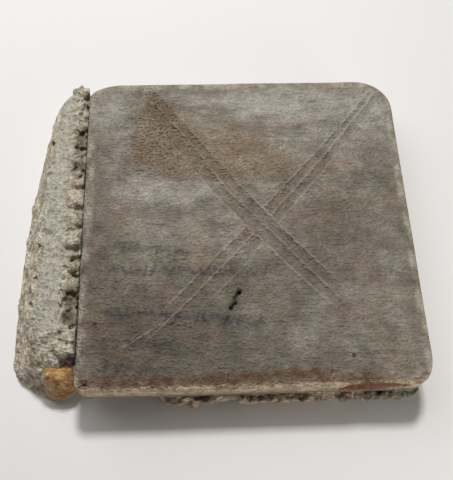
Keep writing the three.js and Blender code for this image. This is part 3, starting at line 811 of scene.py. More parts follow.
class Finish:
    """One material, built up as a recipe of colour layers and fine relief."""

    def __init__(self, name, roughness, specular):
        self.material = bpy.data.materials.new(name)
        self.material.use_nodes = True
        self.nodes = self.material.node_tree.nodes
        self.links = self.material.node_tree.links
        self.shader = self.nodes["Principled BSDF"]
        self.shader.inputs["Roughness"].default_value = roughness
        self.shader.inputs["Specular IOR Level"].default_value = specular
        self.where = self.nodes.new("ShaderNodeTexCoord").outputs["Object"]

    def mask(self, title):
        """A value that the mesh keeps at each of its points."""
        node = self.nodes.new("ShaderNodeAttribute")
        node.attribute_name = title
        return node.outputs["Fac"]

    def noise(self, size_mm, detail=3.0, rough_share=0.55):
        """Noise about `size_mm` wide; three sizes stretch it."""
        place = self.nodes.new("ShaderNodeMapping")
        place.inputs["Scale"].default_value = [1000 / s for s in np.broadcast_to(size_mm, 3)]
        self.links.new(self.where, place.inputs["Vector"])
        node = self.nodes.new("ShaderNodeTexNoise")
        node.inputs["Scale"].default_value = 1.0
        node.inputs["Detail"].default_value = detail
        node.inputs["Roughness"].default_value = rough_share
        self.links.new(place.outputs["Vector"], node.inputs["Vector"])
        return node.outputs["Fac"]

    def between(self, value, low, high, to_low=0.0, to_high=1.0):
        """Moves a value from one range to another and keeps it inside."""
        node = self.nodes.new("ShaderNodeMapRange")
        ends = {"From Min": low, "From Max": high, "To Min": to_low, "To Max": to_high}
        for title, number in ends.items():
            node.inputs[title].default_value = number
        self.links.new(value, node.inputs["Value"])
        return node.outputs["Result"]

    def crest(self, gap, strength, width_mm):
        """1 on a line and 0 beside it, from the distance to the line kept in the mesh."""
        share = self.reckon("DIVIDE", self.mask(gap), width_mm)
        fall = self.reckon("MULTIPLY", self.reckon("MULTIPLY", share, share), -1.0)
        return self.reckon("MULTIPLY", self.reckon("EXPONENT", fall, 0.0), self.mask(strength))

    def reckon(self, how, first, second):
        """One step of arithmetic between numbers or outputs."""
        node = self.nodes.new("ShaderNodeMath")
        node.operation = how
        for socket, value in zip(node.inputs, (first, second)):
            if isinstance(value, (int, float)):
                socket.default_value = value
            else:
                self.links.new(value, socket)
        return node.outputs["Value"]

    def layer(self, under, over, share, how="MIX"):
        """Lays one colour over another. Colours are tuples or outputs of other layers."""
        node = self.nodes.new("ShaderNodeMix")
        node.data_type = "RGBA"
        node.blend_type = how
        factor, first, second = node.inputs["Factor"], node.inputs[6], node.inputs[7]
        for socket, value in ((factor, share), (first, under), (second, over)):
            if isinstance(value, (int, float, tuple)):
                socket.default_value = value
            else:
                self.links.new(value, socket)
        return node.outputs[2]

    def lay_where(self, title, share, over, under):
        """Lays a colour where the mesh's attribute says so, up to a share of its strength."""
        return self.layer(under, over, self.reckon("MULTIPLY", self.mask(title), share))

    def shade(self, colour, noise, low, high, dark, light):
        """Darkens a colour where the noise is low and lightens it where the noise is high."""
        return self.layer(colour, self.grey(self.between(noise, low, high, dark, light)), 1.0, "MULTIPLY")

    def sum_of(self, *parts):
        """Adds up height parts, each a pair of a height and its share in millimetres."""
        total = None
        for height, share in parts:
            scaled = self.reckon("MULTIPLY", height, share)
            total = scaled if total is None else self.reckon("ADD", total, scaled)
        return total

    def grey(self, value):
        """A number as a grey colour."""
        node = self.nodes.new("ShaderNodeCombineColor")
        for title in ("Red", "Green", "Blue"):
            self.links.new(value, node.inputs[title])
        return node.outputs["Color"]

    def finish(self, colour, height, piece):
        """Wires in the colour and the fine relief, and hands the finish to a piece."""
        self.links.new(colour, self.shader.inputs["Base Color"])
        bump = self.nodes.new("ShaderNodeBump")
        bump.inputs["Strength"].default_value = 1.0
        bump.inputs["Distance"].default_value = 0.001
        self.links.new(height, bump.inputs["Height"])
        self.links.new(bump.outputs["Normal"], self.shader.inputs["Normal"])
        piece.data.materials.clear()
        piece.data.materials.append(self.material)
        print(piece.name, "finished with", len(self.nodes), "nodes")


print("middle grey on the screen is", round(srgb(128, 128, 128)[0], 3), "to a shader")

# %% [markdown]
# ## Fired clay
#
# The face is grey-brown and dull: unglazed clay with a skin of fine dust. Dark and light clouds
# several centimetres wide lie under thin streaks that follow the wiping, and everything is
# speckled at the scale of a sand grain. Over that come the brown patch at the far left, the rust
# along the near edge, the blue-grey paint of the inscription, painted shade in the holes and the
# finger channels, and a painted highlight on the ridges, their banks and the rim.

# %% Patterns in the clay
clay = Finish("fired_clay", 0.9, 0.12)
clouds = clay.noise(38, 5, 0.65)
streaks_fine = clay.noise((14, 3.6, 4), 2, 0.6)
streaks_wide = clay.noise((60, 12, 12), 5, 0.65)
leather = clay.noise((3.8, 3.1, 3.4), 1, 0.6)
mottles = clay.noise((13, 11, 11), 3, 0.65)
scratch_lines = clay.noise((48, 2.4, 3), 3, 0.6)
tints = [clay.noise((44, 32, 30), 5, 0.7), clay.noise((36, 27, 25), 5, 0.7)]
ridge_crest = clay.crest("ridge_gap", "ridge_strength", 1.3)
crack_line = clay.crest("crack_gap", "crack_strength", 0.7)
scratch_line = clay.crest("scratch_gap", "scratch_strength", 0.7)
print("patterns of the clay:", len(clay.nodes), "nodes")

# %% [markdown]
# ## The clay's colours
#
# The layers go from wide to narrow, as they came about: the body of the clay, dust and dark
# clouds, the brown patch, stains, and last the rust and the bare clay of the near side.

# %% Layers of colour
colour = clay.layer(srgb(117, 110, 99), srgb(162, 156, 144), clay.between(clouds, 0.34, 0.66))
colour = clay.layer(colour, srgb(144, 129, 112), clay.between(clay.mask("blotch"), 0.4, 0.85, 0, 0.55))
colour = clay.layer(colour, srgb(190, 187, 177), clay.between(clay.mask("pale_cover"), 0, 1, 0, 0.66))
colour = clay.layer(colour, srgb(88, 79, 69), clay.between(clay.mask("dark_cover"), 0, 1, 0, 0.88))
colour = clay.layer(colour, srgb(98, 91, 80), clay.between(streaks_wide, 0.52, 0.66, 0, 0.4))
for tint, tone in zip(tints, (srgb(144, 118, 110), srgb(114, 116, 98))):
    colour = clay.layer(colour, tone, clay.between(tint, 0.48, 0.62, 0, 0.24))
brown_share = clay.reckon("MULTIPLY", clay.mask("brown"), clay.between(mottles, 0.38, 0.6, 0.85, 0.4))
colour = clay.layer(colour, srgb(148, 126, 102), brown_share)
colour = clay.lay_where("stain", 0.6, srgb(84, 78, 70), colour)
colour = clay.lay_where("side", 0.85, srgb(164, 148, 126), colour)
rust_share = clay.reckon("MULTIPLY", clay.mask("rust_edge"), clay.between(mottles, 0.36, 0.64, 0.85, 0.35))
colour = clay.layer(colour, srgb(96, 66, 46), rust_share)
# Light clay and a painted highlight on the upper near side.
tan_share = clay.reckon("MULTIPLY", clay.mask("tan_side"), clay.between(mottles, 0.38, 0.6, 0.45, 1.0))
colour = clay.layer(colour, srgb(236, 212, 180), tan_share)
# Pale rim: rubbed wear with a painted highlight along the arris.
colour = clay.lay_where("worn_rim_and_highlight", 0.5, srgb(196, 187, 170), colour)
print("colours of the clay:", len(clay.nodes), "nodes")

# %% Colour of the marks and the damage
# Painted shade in the finger channels and a painted highlight on their banks.
colour = clay.lay_where("channel", 0.3, srgb(96, 84, 70), colour)
colour = clay.lay_where("bank", 0.35, srgb(176, 170, 156), colour)
colour = clay.lay_where("haze", 0.3, srgb(88, 90, 93), colour)
colour = clay.lay_where("ink", 0.85, srgb(50, 53, 57), colour)
fleck_share = clay.reckon("MULTIPLY", clay.mask("rugged"), clay.between(leather, 0.44, 0.32, 0, 0.42))
colour = clay.layer(colour, srgb(74, 60, 44), fleck_share)
colour = clay.lay_where("scar", 0.35, srgb(172, 158, 132), colour)
split_tone = clay.layer(srgb(170, 122, 95), srgb(128, 78, 56), clay.between(mottles, 0.42, 0.55))
colour = clay.layer(colour, split_tone, clay.mask("split"))
# Painted highlight on the crests of the finger ridges.
colour = clay.layer(colour, srgb(196, 188, 170), clay.reckon("MULTIPLY", ridge_crest, 0.18))
colour = clay.layer(colour, srgb(196, 190, 172), clay.reckon("MULTIPLY", scratch_line, 0.6))
# Painted shade in the holes, darker the deeper they are.
colour = clay.lay_where("hollow", 0.92, srgb(20, 17, 15), colour)
colour = clay.layer(colour, srgb(30, 25, 20), clay.reckon("MULTIPLY", crack_line, 0.85))
print("with the marks and the damage:", len(clay.nodes), "nodes")

# %% Fine unevenness of the clay
colour = clay.shade(colour, scratch_lines, 0.60, 0.70, 1.0, 0.76)
for layer, dark, light in ((streaks_fine, 0.93, 1.07), (mottles, 0.87, 1.13), (leather, 0.88, 1.12)):
    colour = clay.shade(colour, layer, 0.34, 0.66, dark, light)
craggy = clay.reckon("MULTIPLY", leather, clay.mask("unwiped"))
clay_height = clay.sum_of(
    (streaks_fine, 1.2), (mottles, 1.5), (leather, 2.6), (craggy, 7.0),
    (ridge_crest, 1.0), (crack_line, -0.9), (scratch_line, 0.3), (clay.mask("ink"), -0.2))
clay.finish(colour, clay_height, tile)

# %% [markdown]
# ## The mortar as a solid of numbers
#
# Broken mortar has crumbs that stick out, holes that run under lumps and a crack beside the tile.
# A sheet moved up and down can't show that, so the mortar is made as a field: for every point of a
# fine lattice, how far it lies outside (+) or inside (-) the mass. Fields are easy to join, cut
# and roughen, and at the end the surface where the field is zero is turned into a mesh.

# %% Field helpers
def join(*fields, blend=0.01):
    """Union of masses, with a fillet about `blend` mm wide where they meet."""
    result = fields[0]
    for field in fields[1:]:
        near = np.clip(0.5 + 0.5 * (field - result) / blend, 0, 1)
        result = field * (1 - near) + result * near - blend * near * (1 - near)
    return result


def cut(mass, *hollows, blend=0.01):
    """Takes hollows out of a mass."""
    return -join(-mass, *hollows, blend=blend)


def ball(points, centre, reach):
    """Field of a ball with its own reach along X, Y and Z."""
    reach = np.array(reach, float)
    return (np.linalg.norm((points - np.array(centre, float)) / reach, axis=1) - 1) * reach.min()


def surface(low, high, pitch, plain, stages):
    """Mesh of a field. Each later stage is only worked out within its own reach of the surface."""
    axes = [np.arange(a, b + pitch, pitch) for a, b in zip(low, high)]
    lattice = np.stack(np.meshgrid(*axes, indexing="ij"), axis=-1).reshape(-1, 3)
    values = plain(lattice).astype(np.float32)
    for reach, stage in stages:
        close = np.abs(values) < reach
        values[close] = stage(lattice[close], values[close])
    band = 3 * pitch
    volume = openvdb.FloatGrid(float(band))
    volume.copyFromArray(np.clip(values, -band, band).reshape([len(axis) for axis in axes]))
    points, triangles, quads = volume.convertToPolygons(isovalue=0.0, adaptivity=0.01)
    points = points.astype(float) * pitch + np.array([axis[0] for axis in axes])
    print("lattice of", len(lattice), "points gives", len(triangles) + 2 * len(quads), "triangles")
    return points, triangles[:, ::-1].tolist() + quads[:, ::-1].tolist()


above_ball = ball(np.array([[0.0, 0, 5]]), (0, 0, 0), (3, 3, 3))
print("5 mm above the middle of a 3 mm ball the field is", above_ball[0], "mm")

# %% [markdown]
# ## The shape of the mortar
#
# The bed is a low slab with a squeezed-out edge, bare at the near left. The block stands beside
# the tile: widest at its near end, falling away there, with a band struck smooth along its top
# and a sloping flank. Its sizes are those of the solid model, written as shares of its length.

# %% Bed and block
bed_height = 37.6
block_near, block_far = -210.0, 217.0
block_full_height = 77.0
joint_gap = 1.6


def block_sizes(y):
    """Width, height and inner edge of the block at each place along it."""
    from_near = y - block_near
    taper = np.clip((from_near - 118) / (block_far - block_near - 118), 0, 1) ** 2
    near_corner = np.sin(np.clip(from_near / 46, 0, 1) * math.pi / 2) ** 0.8
    far_end = np.sqrt(1 - (1 - np.clip((block_far - y) / 50, 0, 1)) ** 2)
    near_rise = 1 - (1 - np.clip(from_near / 78, 0, 1)) ** 2.6
    inner_cut = 28 * (1 - np.clip(from_near / 26, 0, 1)) ** 1.5
    width = (91 + (62 - 91) * taper) * (0.44 + 0.56 * near_corner) * (0.3 + 0.7 * far_end) - inner_cut
    height = block_full_height * (0.14 + 0.86 * near_rise) * (0.8 + 0.2 * far_end)
    return width, height, -tile_width / 2 - joint_gap - inner_cut


def bed_field(points):
    """The slab under the tile, with its bare stretch at the near left."""
    x, y, z = points.T
    low_x, high_x, high_y = -238, 204.5, 209
    low_y = -221.5 + 21.5 * ramp(x, -108, -132) * ramp(y, -134, -221.5)
    round_corner = 18
    beyond_x = np.abs(x - (low_x + high_x) / 2) - (high_x - low_x) / 2 + round_corner
    beyond_y = np.abs(y - (low_y + high_y) / 2) - (high_y - low_y) / 2 + round_corner
    gap = np.hypot(np.maximum(beyond_x, 0), np.maximum(beyond_y, 0)) - round_corner
    gap = gap + np.minimum(np.maximum(beyond_x, beyond_y), 0)
    edge = np.abs(gap) < 14
    gap[edge] += 3.2 * rough(points[edge] * (1, 1, 0), 42, 100)
    share = np.clip(z / bed_height, 0, 1)
    inset = 7 * np.interp(share, [0, 0.13, 0.45, 0.78, 1], [0.45, 0, 0.1, 0.35, 0.75])
    return np.maximum(gap + inset, np.abs(z - bed_height / 2) - bed_height / 2)


def block_field(points):
    """The block beside the tile: one cross-section, scaled by its width and height at each place."""
    x, y, z = points.T
    width, height, inner = block_sizes(y)
    out = (inner - x) / np.maximum(width, 1)
    close = (x < -tile_width / 2 - 20) & (z > 8)
    out[close] += 0.075 * rough(points[close], 42, 101)
    up = z / height
    section_out = [0, 0.14, 0.25, 0.52, 0.62, 0.70, 0.79, 0.87, 0.96, 1.0, 1.3]
    section_up = [0.92, 0.93, 1, 0.99, 0.88, 0.69, 0.47, 0.26, 0.1, 0.0, -0.5]
    top = (up - np.interp(out, section_out, section_up)) * height
    steep = np.interp(out, [0.5, 0.62, 1.0], [1.0, 0.55, 0.5])
    ends = np.maximum(block_near - y, y - block_far)
    return np.maximum(np.maximum(top * steep, x - inner), ends)


def mortar_field(points):
    return np.maximum(join(bed_field(points), block_field(points), blend=4), -points[:, 2])


for y in (-150, 0, 150):
    print("the block at y", y, "is", [round(float(size)) for size in block_sizes(np.array(y))[:2]], "mm")

# %% [markdown]
# ## Lumps, hollows and crumbs
#
# Beside the tile the block is rubble: lumps the size of a walnut pushed into the joint, with
# crumbs between. Under the near edge of the tile the mortar was squeezed out in lumps too. The
# large ones stand in lists, each at its own place, and only the crumbs between are scattered.

# %% Lumps of the mortar
lumps = [
    # place along the joint, distance out from the tile, height of its top, reach along X, Y and Z
    (205, 9, 82, 12, 7, 9), (197, 17, 79.5, 8, 5, 7), (211, 15, 78, 8, 5, 8), (76, 11, 79.5, 9, 7, 9),
    (59, 9, 81.5, 13, 6, 9), (35, 11, 83, 15, 14, 13), (6, 11, 83.5, 14, 15, 14),
    (-15, 5, 80.5, 6, 6, 9), (-27, 11, 82, 13, 10, 11),
    (-44, 12, 80.5, 10, 8, 9), (-60, 8, 80, 8, 7, 9), (-84, 8, 81.5, 10, 11, 10), (-152, 8, 81, 11, 9, 10),
    (-168, 9, 80, 11, 7, 9), (-160, 22, 77, 8, 8, 8),
]
pick = np.random.default_rng(7)
for along in np.r_[pick.uniform(84, 214, 46), pick.uniform(-150, -40, 22)]:
    lumps.append((along, pick.uniform(2, 21), pick.uniform(76, 80.5), *pick.uniform(3.2, 6.4, 3)))
front_lumps = [
    # squeezed-out mortar under the tile's near edge: middle, reach along X, Y and Z
    (-96, -220, 24, 13, 6, 9), (-78, -222, 12, 9, 5, 6), (-60, -220, 28, 14, 5, 8),
    (-8, -221, 22, 13, 5, 10), (16, -222, 30, 12, 4, 6), (40, -221, 18, 16, 5, 9),
    (66, -222, 29, 14, 4, 6), (88, -220, 14, 12, 5, 10), (112, -222, 26, 12, 5, 9),
    (138, -221, 20, 14, 5, 12), (160, -222, 30, 12, 5, 7), (178, -218, 16, 14, 7, 13),
    (193, -212, 26, 11, 8, 10),
]
print(len(lumps), "lumps along the joint and", len(front_lumps), "under the near edge")

# %% [markdown]
# ## Gaps, craters and the hollow under the edge
#
# Between and under the lumps it is dark and hollow. The smooth band and the flank have shallow
# craters where pieces broke off. At the middle of the near edge the bed has a low arch, where the
# mortar never reached or fell away.

# %% Gaps and craters
gaps = [
    # holes between and below the lumps, listed in the same way
    (182, 1, 76, 6, 6, 12), (189, 12, 77, 9, 3, 4), (66, 8, 79, 9, 3.5, 6), (49, 7, 79, 10, 4, 6),
    (21, 6, 77, 8, 4.5, 9), (-6, 3, 76, 5, 5, 9), (-15, 14, 80, 6, 4, 5), (-36, 5, 76, 6, 4, 9),
    (-52, 3, 76, 6, 4, 9), (-71, 5, 76, 7, 5, 9), (-98, 5, 78, 7, 5, 8), (-108, 10, 79, 9, 8, 8),
    (-126, 10, 79, 11, 9, 9), (-139, 4, 77, 7, 5, 8), (-160, 3, 79, 6, 3, 6), (-181, 1, 78, 6, 9, 26),
    (-183, 16, 72, 8, 5, 6), (110, 4, 78, 5, 5, 8), (136, 5, 78, 6, 5, 8), (158, 3, 78, 5, 6, 8),
]
craters = [
    # broken places on the smooth band and on the flank
    (-258, -16, 75, 7, 8, 4), (-266, -37, 70, 6, 7, 5), (-264, 72, 72, 6, 9, 4), (-268, 86, 68, 6, 10, 5),
    (-268, -78, 68, 7, 8, 5), (-272, -112, 64, 9, 10, 5), (-276, -150, 52, 10, 9, 5),
    (-272, 20, 60, 8, 11, 5), (-278, -30, 45, 7, 12, 5),
    (-262, 120, 64, 6, 10, 4), (-240, 95, 77, 5, 5, 2), (-238, -58, 77, 5, 5, 2), (-243, 30, 78, 5, 6, 2),
]
front_gaps = [
    (-112, -221, 33, 12, 7, 4), (-86, -222, 33, 9, 7, 4), (-66, -222, 14, 6, 6, 5),
    (-44, -222, 31, 8, 6, 3), (6, -222, 35, 11, 7, 3), (28, -223, 24, 8, 6, 4),
    (52, -222, 34, 12, 7, 3), (78, -223, 22, 7, 6, 5), (100, -222, 35, 10, 7, 3),
    (125, -223, 31, 7, 6, 4), (150, -223, 12, 9, 6, 5), (170, -222, 35, 9, 6, 3),
]
arch_middle, arch_reach = (-31, -219, 0), (22, 36, 17)
print(len(gaps) + len(front_gaps), "gaps and", len(craters), "craters")

# %% [markdown]
# ## Putting the rubble on the mass
#
# Every lump is a ball joined to the mass and every gap a ball cut out of it. Before that, the
# space is bent a little by noise, so no ball stays round.

# %% Rubble
joint_x = -tile_width / 2 - joint_gap


def near_ball(points, mass, centre, reach, how):
    """Joins or cuts one ball, touching only the points near it."""
    reach = np.array(reach, float)
    close = (np.abs(points - np.array(centre, float)) < reach + 5).all(axis=1)
    mass[close] = how(mass[close], ball(points[close], centre, reach), blend=1.0)


def rubble(points, plain):
    """Lumps, gaps and craters of the block, and the hollow at the middle of the bed's near edge."""
    side = (points[:, 0] < -195) | (points[:, 1] < -178)
    here, mass = points[side], plain[side]
    warped = here + 2.0 * np.c_[hills(here, 12, 110), hills(here, 12, 111), hills(here, 12, 112)]
    for along, away, top, rx, ry, rz in lumps:
        near_ball(warped, mass, (joint_x - away, along, top - rz), (rx, ry, rz), join)
    for along, away, middle, rx, ry, rz in gaps:
        near_ball(warped, mass, (joint_x - away, along, middle), (rx, ry, rz), cut)
    for places, how in ((craters, cut), (front_lumps, join), (front_gaps, cut)):
        for *middle, rx, ry, rz in places:
            near_ball(warped, mass, middle, (rx, ry, rz), how)
    near_ball(warped, mass, arch_middle, arch_reach, cut)
    result = plain.copy()
    result[side] = mass
    return result


print("the joint lies at x", joint_x, "mm")

# %% [markdown]
# ## The skin of the mortar
#
# The mortar is smooth on the band, sandy on the flank, and broken into stones in the joint, at
# its near end and along the bed's edge. First each zone is found from the block's own sizes. Then
# the skin is roughened by hills, grains and pits, in shares that depend on the zone.

# %% Zones and skin
def block_zones(points):
    """Where a point of the mortar lies: on the block, on its smooth band, in the rubble strip."""
    x, y, z = points.T
    width, height, inner = block_sizes(y)
    out = (inner - x) / np.maximum(width, 1)
    on_block = (x < -tile_width / 2) * 1.0
    band = on_block * ramp(out, 0.17, 0.26) * ramp(out, 0.62, 0.52)
    band = band * ramp(z, height - 15, height - 7) * ramp(y, -180, -122)
    strip = on_block * ramp(out, 0.25, 0.15) * ramp(z, 45, 60)
    return on_block, band, strip


def skin(points, mass):
    """Roughness of the mortar's open surfaces. Positive goes in, negative stands out."""
    x, y, z = points.T
    hidden = (np.abs(x) < 196) & (np.abs(y) < 200) & (z > 10)
    open_side = ~hidden
    here = points[open_side]
    on_block, band, strip = block_zones(here)
    near_end = on_block * ramp(here[:, 1], -95, -150)
    broken = ramp(rough(here, 30, 113), -0.1, 0.4)
    uneven = (1 - 0.55 * band) * (3.0 * rough(here, 34, 114) + 1.3 * rough(here, 13, 115))
    grains = grit(here, 6.0, 116) - 0.55
    fine_grains = grit(here, 3.6, 117) - 0.55
    rubbly = grit(here, 14.0, 119) - 0.55
    crumbly = (1 - 0.85 * band) * (0.4 + 0.6 * broken) + 0.25 * strip + 0.6 * near_end
    pock = ramp(hills(here, 6.5, 118), 0.5, 0.8) * (1 - 0.7 * band)
    front = ramp(here[:, 1], -212, -218) * ramp(here[:, 0], -190, -160)
    pitted = ramp(rough(here, 20, 131), 0.1, 0.6) * (1 - 0.85 * band)
    depth = 0.9 * uneven + crumbly * (2.3 * grains + 1.6 * fine_grains) + 1.8 * pock + 1.6 * pitted
    flank = on_block * (1 - band) * (1 - strip)
    depth += (0.6 * strip + 2.6 * front + 1.6 * flank + 1.8 * near_end) * rubbly
    right_or_far = np.maximum(ramp(here[:, 0], 188, 198), ramp(here[:, 1], 190, 200)) * (1 - on_block)
    depth += right_or_far * (2.4 * rubbly + 2.4 * rough(here, 26, 134))
    result = mass.copy()
    result[open_side] += depth * (0.2 + 0.8 * ramp(here[:, 2], 0.5, 6))
    return result


band_place = np.array([[-250.0, 0, 77]])
print("a point of the band is in the zones", [float(zone[0]) for zone in block_zones(band_place)])

# %% [markdown]
# ## Room for the tile and the stone
#
# The last step takes away what would touch the tile or the stone, and levels the underside, with
# a few flat hollows where the mortar lay on something uneven.

# %% Trimming the mortar
def trim(points, mass):
    """Leaves room for the tile and the stone, and keeps the underside level and hollowed."""
    x, y, z = points.T
    low = z < 9
    under = np.full(low.sum(), 50.0)
    for k in range(5):
        angle = k / 5 * 2 * math.pi
        reach = 34 * (1 + 0.4 * math.sin(k * 2.2))
        centre = (125 * math.cos(angle), 125 * math.sin(angle), 0)
        under = np.minimum(under, ball(points[low], centre, (reach, reach * 0.8, 4)))
    result = mass.copy()
    result[low] = cut(result[low], under)
    tile_room = np.maximum(np.abs(x) - tile_width / 2 - 0.9, np.abs(y) - tile_depth / 2 - 0.9)
    result = np.maximum(result, -np.maximum(tile_room, bed_height - z))
    by_stone = (x < stone_high[0] + 9) & (y < stone_high[1] + 9)
    here = points[by_stone]
    stone_skin = stone_detail(here, stone_gap(here))
    result[by_stone] = np.maximum(result[by_stone], -0.5 - stone_skin)
    return np.maximum(result, -z)


print("the tile's bed lies at", bed_height, "mm")

# %% [markdown]
# ## The stone
#
# The ochre stone is a broken pebble with a few flat faces. Its field is the largest of the
# distances to its faces, which are read from the solid model, with the edges worn a little round.

# %% The stone's field
stone_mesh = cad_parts["rubble_stone"].data
stone_planes = np.array([
    [*face.normal, face.normal.dot(face.center) * 1000] for face in stone_mesh.polygons
])


def stone_gap(points):
    """Distance outside the stone's flat faces, with rounded edges."""
    worn = 1.1
    total = np.zeros(len(points))
    largest = np.full(len(points), -1e9)
    for nx, ny, nz, at in stone_planes:
        largest = np.maximum(largest, points @ np.array([nx, ny, nz]) - at)
    for nx, ny, nz, at in stone_planes:
        total += np.exp((points @ np.array([nx, ny, nz]) - at - largest) / worn)
    return largest + worn * np.log(total) - worn * 0.4


def stone_detail(points, plain):
    """Chips and roughness on the stone's flat faces."""
    chips = ramp(rough(points, 17, 121), 0.15, 0.6)
    return plain + 1.0 * rough(points, 14, 120) + 1.5 * chips + 0.35 * rough(points, 4, 122) + 0.4


print("the stone has", len(stone_planes), "flat faces")

# %% The stone's mesh
stone_pitch = 0.8
stone_points, stone_faces = surface(
    stone_low - 3, stone_high + 3, stone_pitch, stone_gap, [(5, stone_detail)])
from_left = stone_points[:, 0] - stone_low[0]
stone = make_piece("stone_fine", stone_points, stone_faces, {
    "smear": ramp(rough(stone_points, 13, 125) - 0.035 * (from_left - 20), 0.1, 0.5),
    # low: painted shade on the lower part of the stone.
    "low": ramp(stone_points[:, 2] - stone_low[2], 34, 12),
})
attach(stone, "root")
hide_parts("rubble_stone")

# %% [markdown]
# ## Casting the mortar
#
# The field is sampled every 1.65 mm, which is finer than the smallest crumb. The detail is only
# worked out near the surface, because a lattice of this size has millions of points.

# %% The mortar's mesh
mortar_pitch = 1.65
mortar_points, mortar_faces = surface(
    (-313, -229, -3.0), (218, 226, 88), mortar_pitch,
    mortar_field, [(16, rubble), (6, skin), (12, trim)])
on_block, band, strip = block_zones(mortar_points)
crumbled = np.zeros(len(mortar_points))
for along, reach in ((-101, 17), (-126, 13), (128, 20), (88, 12)):
    gap = np.hypot((mortar_points[:, 0] + 223) / 14, (mortar_points[:, 1] - along) / reach)
    crumbled = np.maximum(crumbled, ramp(gap + 0.35 * rough(mortar_points, 12, 133), 1.2, 0.5) * strip)
# under_tile and the crevice mask place painted shade in the crevice under the tile's near edge.
under_tile = ramp(mortar_points[:, 2], 22, 33) * (on_block < 0.5)
mortar = make_piece("mortar_fine", mortar_points, mortar_faces, {
    "band": band,
    "block": on_block,
    "strip": strip,
    # sunk: painted shade in the clefts between the sand grains.
    "sunk": ramp(grit(mortar_points, 6.0, 116), 0.4, 0.9) * (1 - 0.8 * band),
    "crevice": under_tile * ramp(rough(mortar_points, (34, 12, 9), 132), -0.3, 0.1),
    "greenish": ramp(mortar_points[:, 0], 118, 160) * ramp(mortar_points[:, 1], -120, -180),
    "stained": ramp(rough(mortar_points, 26, 130), 0.05, 0.55) * (1 - 0.8 * band),
    "crumbled": crumbled,
})
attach(mortar, "root")
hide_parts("mortar")

# %% [markdown]
# ## Lime mortar and ochre stone
#
# Lime mortar is pale grey where the trowel smoothed it and warmer and darker where it crumbles,
# with sand grains showing and painted shade in the clefts between them, in the pits and in the
# crevice under the tile. The bed under the tile is browner, because earth sticks to it. The stone
# is ochre, with darker veins and a film of mortar, and painted shade on its lower part.

# %% Patterns in the mortar
lime = Finish("lime_mortar", 0.95, 0.08)
fine_sand = lime.noise(3.0, 1, 0.6)
coarse_sand = lime.noise(7, 2, 0.6)
lime_clouds = lime.noise(26, 5, 0.65)
warm_clouds = lime.noise(17, 5, 0.7)
pits = lime.noise(5, 2, 0.5)
print("patterns of the mortar:", len(lime.nodes), "nodes")

# %% Colours of the mortar
colour = lime.layer(srgb(176, 168, 151), srgb(230, 221, 204), lime.between(lime_clouds, 0.38, 0.62))
colour = lime.layer(colour, srgb(216, 199, 170), lime.between(warm_clouds, 0.48, 0.6, 0, 0.75))
colour = lime.lay_where("band", 0.75, srgb(166, 164, 153), colour)
colour = lime.lay_where("stained", 0.3, srgb(160, 140, 108), colour)
colour = lime.lay_where("strip", 0.4, srgb(158, 153, 140), colour)
colour = lime.lay_where("crumbled", 0.75, srgb(96, 86, 66), colour)
bed_tone = lime.layer(srgb(222, 200, 174), srgb(160, 158, 136), lime.mask("greenish"))
# Painted shade in the crevice between the tile and the bed below it.
bed_tone = lime.lay_where("crevice", 0.8, srgb(40, 33, 26), bed_tone)
colour = lime.layer(bed_tone, colour, lime.between(lime.mask("block"), 0, 1, 0.1, 1.0))
# Painted shade in the clefts between the grains.
colour = lime.lay_where("sunk", 0.45, srgb(78, 68, 54), colour)
# Painted shade in the small pits that the bump presses in.
colour = lime.layer(colour, srgb(96, 86, 70), lime.between(pits, 0.66, 0.72, 0, 0.4))
colour = lime.layer(colour, srgb(150, 132, 104), lime.between(coarse_sand, 0.44, 0.34, 0, 0.45))
for layer, dark, light in ((coarse_sand, 0.82, 1.2), (fine_sand, 0.78, 1.22)):
    colour = lime.shade(colour, layer, 0.3, 0.7, dark, light)
lime_height = lime.sum_of((fine_sand, 2.4), (coarse_sand, 4.0), (lime.between(pits, 0.66, 0.72), -0.6))
lime.finish(colour, lime_height, mortar)

# %% The stone's finish
ochre = Finish("ochre_stone", 0.9, 0.15)
veins = ochre.noise((16, 5, 9), 5, 0.65)
stone_sand = ochre.noise(3.0, 2, 0.65)
colour = ochre.layer(srgb(206, 165, 112), srgb(156, 112, 70), ochre.between(veins, 0.42, 0.58))
colour = ochre.layer(colour, srgb(214, 188, 142), ochre.between(ochre.noise(9, 4), 0.54, 0.66, 0, 0.75))
colour = ochre.lay_where("smear", 0.75, srgb(190, 180, 158), colour)
# Painted shade on the stone's lower part.
colour = ochre.lay_where("low", 0.5, srgb(98, 78, 52), colour)
colour = ochre.shade(colour, stone_sand, 0.3, 0.7, 0.66, 1.3)
ochre.finish(colour, ochre.sum_of((veins, 2.0), (stone_sand, 1.2)), stone)

# %% [markdown]
# ## Floor, light and camera
#
# The tile lies on a plain pale floor. A small lamp hangs high beyond its far side and draws every
# ridge on the face. A wide one at the left softens it, and two weak ones in front light the near
# side. The camera stands above the near edge and looks down steeply. Its directions were worked
# out from the tile's four edges.

# %% Floor
bpy.ops.mesh.primitive_plane_add(size=8, location=(0, 0, 0))
floor = bpy.context.object
floor.name = "floor"
pale = Finish("pale_floor", 0.85, 0.1)
pale.shader.inputs["Base Color"].default_value = srgb(238, 237, 236)
floor.data.materials.append(pale.material)
floor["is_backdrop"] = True
print("floor is", round(floor.dimensions.x, 1), "m wide")

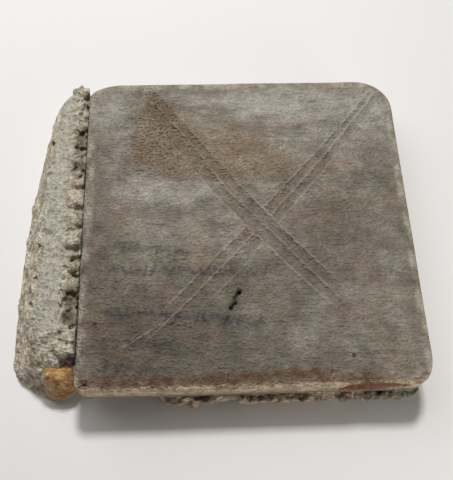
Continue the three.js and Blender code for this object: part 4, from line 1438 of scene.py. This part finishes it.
# %% Light
def lamp(name, place, size, power, colour):
    """A square lamp that looks at the middle of the tile."""
    data = bpy.data.lights.new(name, "AREA")
    data.shape = "SQUARE"
    data.size = size
    data.energy = power
    data.color = colour
    thing = bpy.data.objects.new(name, data)
    thing.location = place
    thing.rotation_euler = (Vector((0, 0, 0.04)) - thing.location).to_track_quat("-Z", "Y").to_euler()
    bpy.context.scene.collection.objects.link(thing)
    print(name, "shines with", power, "W from", round(thing.location.length, 2), "m")


lamp("far_lamp", (0.06, 0.95, 2.4), 0.36, 43, (1.0, 0.99, 0.975))
lamp("wide_left_lamp", (-0.9, 0.75, 1.6), 1.7, 15, (1.0, 0.995, 0.99))
lamp("front_lamp", (0.9, -1.3, 0.5), 0.7, 3.2, (1.0, 0.95, 0.9))
lamp("right_lamp", (0.62, -0.42, 0.26), 0.25, 0.5, (1.0, 0.95, 0.9))

world = bpy.data.worlds.new("studio")
world.use_nodes = True
world.node_tree.nodes["Background"].inputs["Color"].default_value = (1.0, 0.985, 0.965, 1)
world.node_tree.nodes["Background"].inputs["Strength"].default_value = 0.04
bpy.context.scene.world = world
bpy.context.scene.view_settings.view_transform = "Standard"

# %% Camera
eye = (-0.0637, -0.3771, 0.83841)
camera_data = bpy.data.cameras.new("camera")
camera_data.sensor_width = 36
camera_data.lens = 49.058
camera = bpy.data.objects.new("camera", camera_data)
right, up, ahead = (0.9989, -0.03698, 0.02866), (0.02169, 0.90883, 0.4166), (0.04146, 0.41553, -0.90864)
turn = Matrix((right, up, [-value for value in ahead])).transposed().to_4x4()
camera.matrix_world = Matrix.Translation(eye) @ turn
bpy.context.scene.collection.objects.link(camera)
bpy.context.scene.camera = camera
print("the camera looks from", eye, "with a lens of", round(camera_data.lens, 1), "mm")

# %% [markdown]
# ## The size of the fine pieces
#
# The fine pieces must fill the same box as the solids. Both boxes are written down to compare.

# %% Sizes
visual_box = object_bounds()
sizes = {"cad": [list(corner) for corner in cad_box], "visual": [list(corner) for corner in visual_box]}
for title, (low, high) in sizes.items():
    print(title, "box in mm:", [round(value * 1000, 1) for value in low + high])
